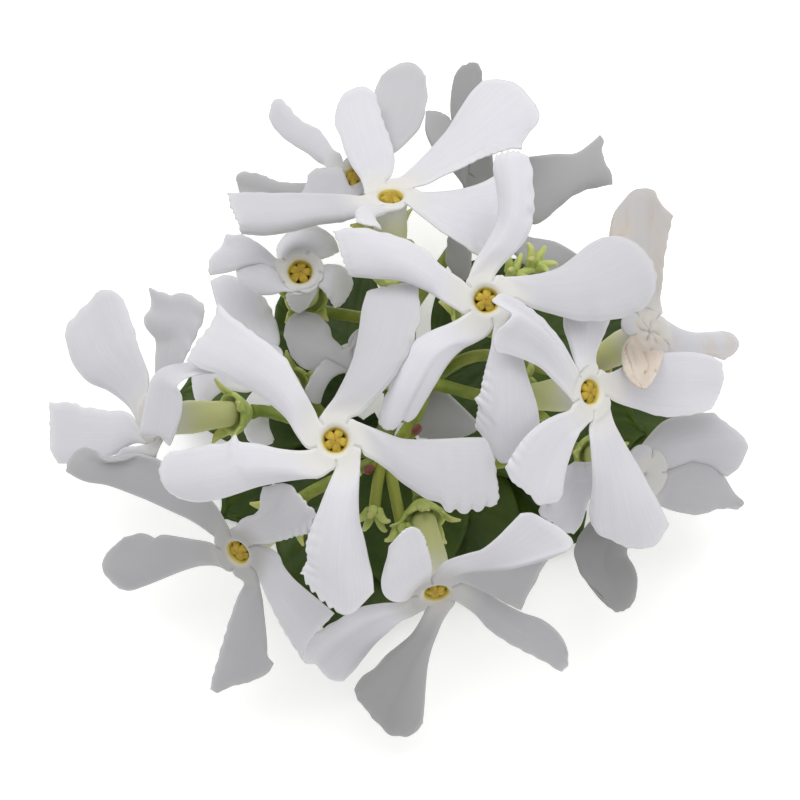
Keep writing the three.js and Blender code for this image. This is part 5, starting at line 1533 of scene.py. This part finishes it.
def stem_material(colours, mottle):
    made, nodes, shader = new_material("Stem", {
        "Specular IOR Level": 0.4, "Subsurface Weight": 0.12, "Subsurface Scale": 0.5 * MM})
    colour, grain = mottled(nodes, mottle, colours.stem, (0.5, 0.66, 0.5), 420.0, 4200.0)
    colour = tinted(nodes, colour, nodes.ramp(grain, 0.62, 0.75, 0.0, 0.6), "bark")
    # The cut end shows a pale pith in a ring of greener wood.
    place = nodes.add("ShaderNodeSeparateXYZ", {0: nodes.add("ShaderNodeTexCoord").outputs["Object"]})
    aside = nodes.math("SUBTRACT", place.outputs["X"], HEAD_ORIGIN[0] * MM)
    over = nodes.math("SUBTRACT", place.outputs["Z"], MAIN_RADIUS * MM)
    squares = [nodes.math("MULTIPLY", value, value) for value in (aside, over)]
    spread = nodes.math("SQRT", nodes.math("ADD", *squares))
    cut = tinted(nodes, rgba(TINTS["pith"]), nodes.ramp(spread, *PITH), "wood")
    at_end = nodes.ramp(place.outputs["Y"], *((MAIN_Y[1] - back) * MM for back in CUT))
    set_finish(nodes, shader, nodes.blend(at_end, colour, cut), grain, (0.4, 0.62))
    set_bump(nodes, shader, grain, 0.35, 0.08 * MM)
    return made


def leaf_material(colours, streaks, mottle):
    made, nodes, shader = new_material("Leaf", {
        "Specular IOR Level": 0.25, "Coat Weight": 0.03, "Coat Roughness": 0.3})
    colour, grain = mottled(nodes, mottle, colours.leaf, (2.2, 1.9, 1.5), 160.0, 3000.0)
    colour = tinted(nodes, colour, nodes.math("MULTIPLY", nodes.attribute("vein"), 0.6), "vein")
    set_finish(nodes, shader, colour, grain, (0.32, 0.5))
    across, along = nodes.attribute("across"), nodes.attribute("along")
    cells = placed_group(nodes, streaks, Across=across, Along=along, Lines=30.0, Drift=60.0).outputs[0]
    set_bump(nodes, shader, nodes.math("ADD", cells, grain), 0.3, 0.1 * MM)
    return made


def floor_material(colours, mottle):
    made, nodes, shader = new_material("Floor", {
        "Specular IOR Level": 0.2, "Emission Strength": FLOOR_GLOW})
    colour, grain = mottled(nodes, mottle, colours.floor, (0.985, 0.985, 0.985), 6.0, 900.0)
    set_finish(nodes, shader, colour, grain, (0.75, 0.85))
    nodes.feed(shader.inputs["Emission Color"], colour)
    return made


def shared(name, build):
    """A node group or material that is built once."""
    found = bpy.data.node_groups.get(name) or bpy.data.materials.get(name)
    return found or build()


def finish_for(kind):
    colours = bpy.context.scene.sprig_colours
    streaks = shared("Streaks", streaks_group)
    mottle = shared("Mottle", mottle_group)
    builders = {
        "Petal": lambda: petal_material(colours, streaks, mottle),
        "Anther": lambda: anther_material(colours, mottle),
        "Sepal": lambda: sepal_material(colours, mottle),
        "Stem": lambda: stem_material(colours, mottle),
        "Leaf": lambda: leaf_material(colours, streaks, mottle),
        "Floor": lambda: floor_material(colours, mottle),
    }
    return shared(kind, builders[kind])


# ---------------------------------------------------------------------------------------------------
# Stage

LENS = 182.25  # mm of focal length on a 36 mm sensor: 13.5 pixels a millimetre at the head
KEY = dict(direction=(-0.15, 0.62, 0.77), distance=0.55, side=0.5, watts=2.35)
FILL = dict(direction=(0.55, 0.05, 0.83), distance=0.6, side=0.6, watts=1.1)
SKY = 0.4
FLOOR_GLOW = 0.4  # how much of its own colour the floor gives off, which thins the shadows on it


def area_light(name, direction, distance, side, watts):
    """A square softbox that faces the head, from a direction in the head's own seat."""
    light = bpy.data.lights.new(name, "AREA")
    light.shape = "SQUARE"
    light.size = side
    light.energy = watts
    lamp = bpy.data.objects.new(name, light)
    way = Vector(HEAD_TURN @ np.array(direction, float)).normalized()
    lamp.location = Vector(HEAD_ORIGIN * MM) + way * distance
    lamp.rotation_euler = way.to_track_quat("Z", "Y").to_euler()
    bpy.context.scene.collection.objects.link(lamp)


def stage(floor_side):
    mesh = bpy.data.meshes.new("floor")
    half = floor_side / 2
    mesh.from_pydata([(-half, -half, 0), (half, -half, 0), (half, half, 0), (-half, half, 0)], [],
                     [(0, 1, 2, 3)])
    mesh.materials.append(finish_for("Floor"))
    floor = bpy.data.objects.new("floor", mesh)
    bpy.context.scene.collection.objects.link(floor)
    area_light("key", **KEY)
    area_light("fill", **FILL)
    world = bpy.data.worlds.new("sky")
    world.use_nodes = True
    sky = world.node_tree.nodes["Background"]
    sky.inputs["Color"].default_value = (1.0, 1.0, 1.0, 1.0)
    sky.inputs["Strength"].default_value = SKY
    bpy.context.scene.world = world
    view = bpy.context.scene.view_settings
    view.view_transform = "Standard"
    lens = bpy.data.cameras.new("camera")
    lens.lens = LENS
    lens.clip_start = 0.01
    camera = bpy.data.objects.new("camera", lens)
    camera.location = Vector(from_head((0, 0, SIGHT)) * MM)
    camera.rotation_euler = (LEAN, 0, 0)
    bpy.context.scene.collection.objects.link(camera)
    bpy.context.scene.camera = camera


# ---------------------------------------------------------------------------------------------------
# Operators and panel

class JASMINE_OT_petals(bpy.types.Operator):
    """Adds the lobes, eye and tube of every bloom"""
    bl_idname = "jasmine.petals"
    bl_label = "Petals"

    def execute(self, context):
        for k, bloom in enumerate(BLOOMS):
            corolla(k + 1, bloom, context.scene.sprig_sizes, finish_for("Petal"))
        return {"FINISHED"}


class JASMINE_OT_anthers(bpy.types.Operator):
    """Adds the cone of five anthers in every throat"""
    bl_idname = "jasmine.anthers"
    bl_label = "Anthers"

    def execute(self, context):
        for k, bloom in enumerate(BLOOMS):
            anther_cone(k + 1, bloom, finish_for("Anther"))
        return {"FINISHED"}


class JASMINE_OT_calyces(bpy.types.Operator):
    """Adds the cup and the curled sepals under every bloom"""
    bl_idname = "jasmine.calyces"
    bl_label = "Calyces"

    def execute(self, context):
        for k, bloom in enumerate(BLOOMS):
            calyx(k + 1, bloom, finish_for("Sepal"))
        return {"FINISHED"}


class JASMINE_OT_stalks(bpy.types.Operator):
    """Adds the lying stem with its branches and pedicels"""
    bl_idname = "jasmine.stalks"
    bl_label = "Stalks"

    def execute(self, context):
        stem(finish_for("Stem"))
        return {"FINISHED"}


class JASMINE_OT_shoots(bpy.types.Operator):
    """Adds the thin side shoots with their bare calyces and buds"""
    bl_idname = "jasmine.shoots"
    bl_label = "Side shoots"

    def execute(self, context):
        shoots(finish_for("Sepal"))
        return {"FINISHED"}


class JASMINE_OT_leaves(bpy.types.Operator):
    """Adds the veined leaves"""
    bl_idname = "jasmine.leaves"
    bl_label = "Leaves"

    def execute(self, context):
        for k in range(len(LEAVES)):
            leaf(k + 1, finish_for("Leaf"))
        return {"FINISHED"}


class JASMINE_OT_stage(bpy.types.Operator):
    """Adds the pale floor, the soft lights and the camera"""
    bl_idname = "jasmine.stage"
    bl_label = "Stage"

    def execute(self, context):
        stage(context.scene.sprig_sizes.floor_side)
        return {"FINISHED"}


OPERATORS = (JASMINE_OT_petals, JASMINE_OT_anthers, JASMINE_OT_calyces, JASMINE_OT_stalks,
             JASMINE_OT_shoots, JASMINE_OT_leaves, JASMINE_OT_stage)


class JASMINE_PT_sprig(bpy.types.Panel):
    """Lists what the sprig is made of"""
    bl_label = "Star jasmine"
    bl_space_type = "VIEW_3D"
    bl_region_type = "UI"
    bl_category = "Jasmine"

    def draw(self, context):
        for settings in (context.scene.sprig_sizes, context.scene.sprig_colours):
            for name in settings.bl_rna.properties.keys():
                if name not in ("name", "rna_type"):
                    self.layout.prop(settings, name)
        for operator in OPERATORS:
            self.layout.operator(operator.bl_idname)


CLASSES = (SprigSizes, SprigColours, *OPERATORS, JASMINE_PT_sprig)


def register():
    for kind in CLASSES:
        bpy.utils.register_class(kind)
    bpy.types.Scene.sprig_sizes = bpy.props.PointerProperty(type=SprigSizes)
    bpy.types.Scene.sprig_colours = bpy.props.PointerProperty(type=SprigColours)


def unregister():
    del bpy.types.Scene.sprig_colours
    del bpy.types.Scene.sprig_sizes
    for kind in reversed(CLASSES):
        bpy.utils.unregister_class(kind)


def main():
    register()
    bpy.ops.jasmine.petals()
    bpy.ops.jasmine.anthers()
    bpy.ops.jasmine.calyces()
    bpy.ops.jasmine.stalks()
    bpy.ops.jasmine.shoots()
    bpy.ops.jasmine.leaves()
    bpy.ops.jasmine.stage()


if __name__ == "__main__":
    main()
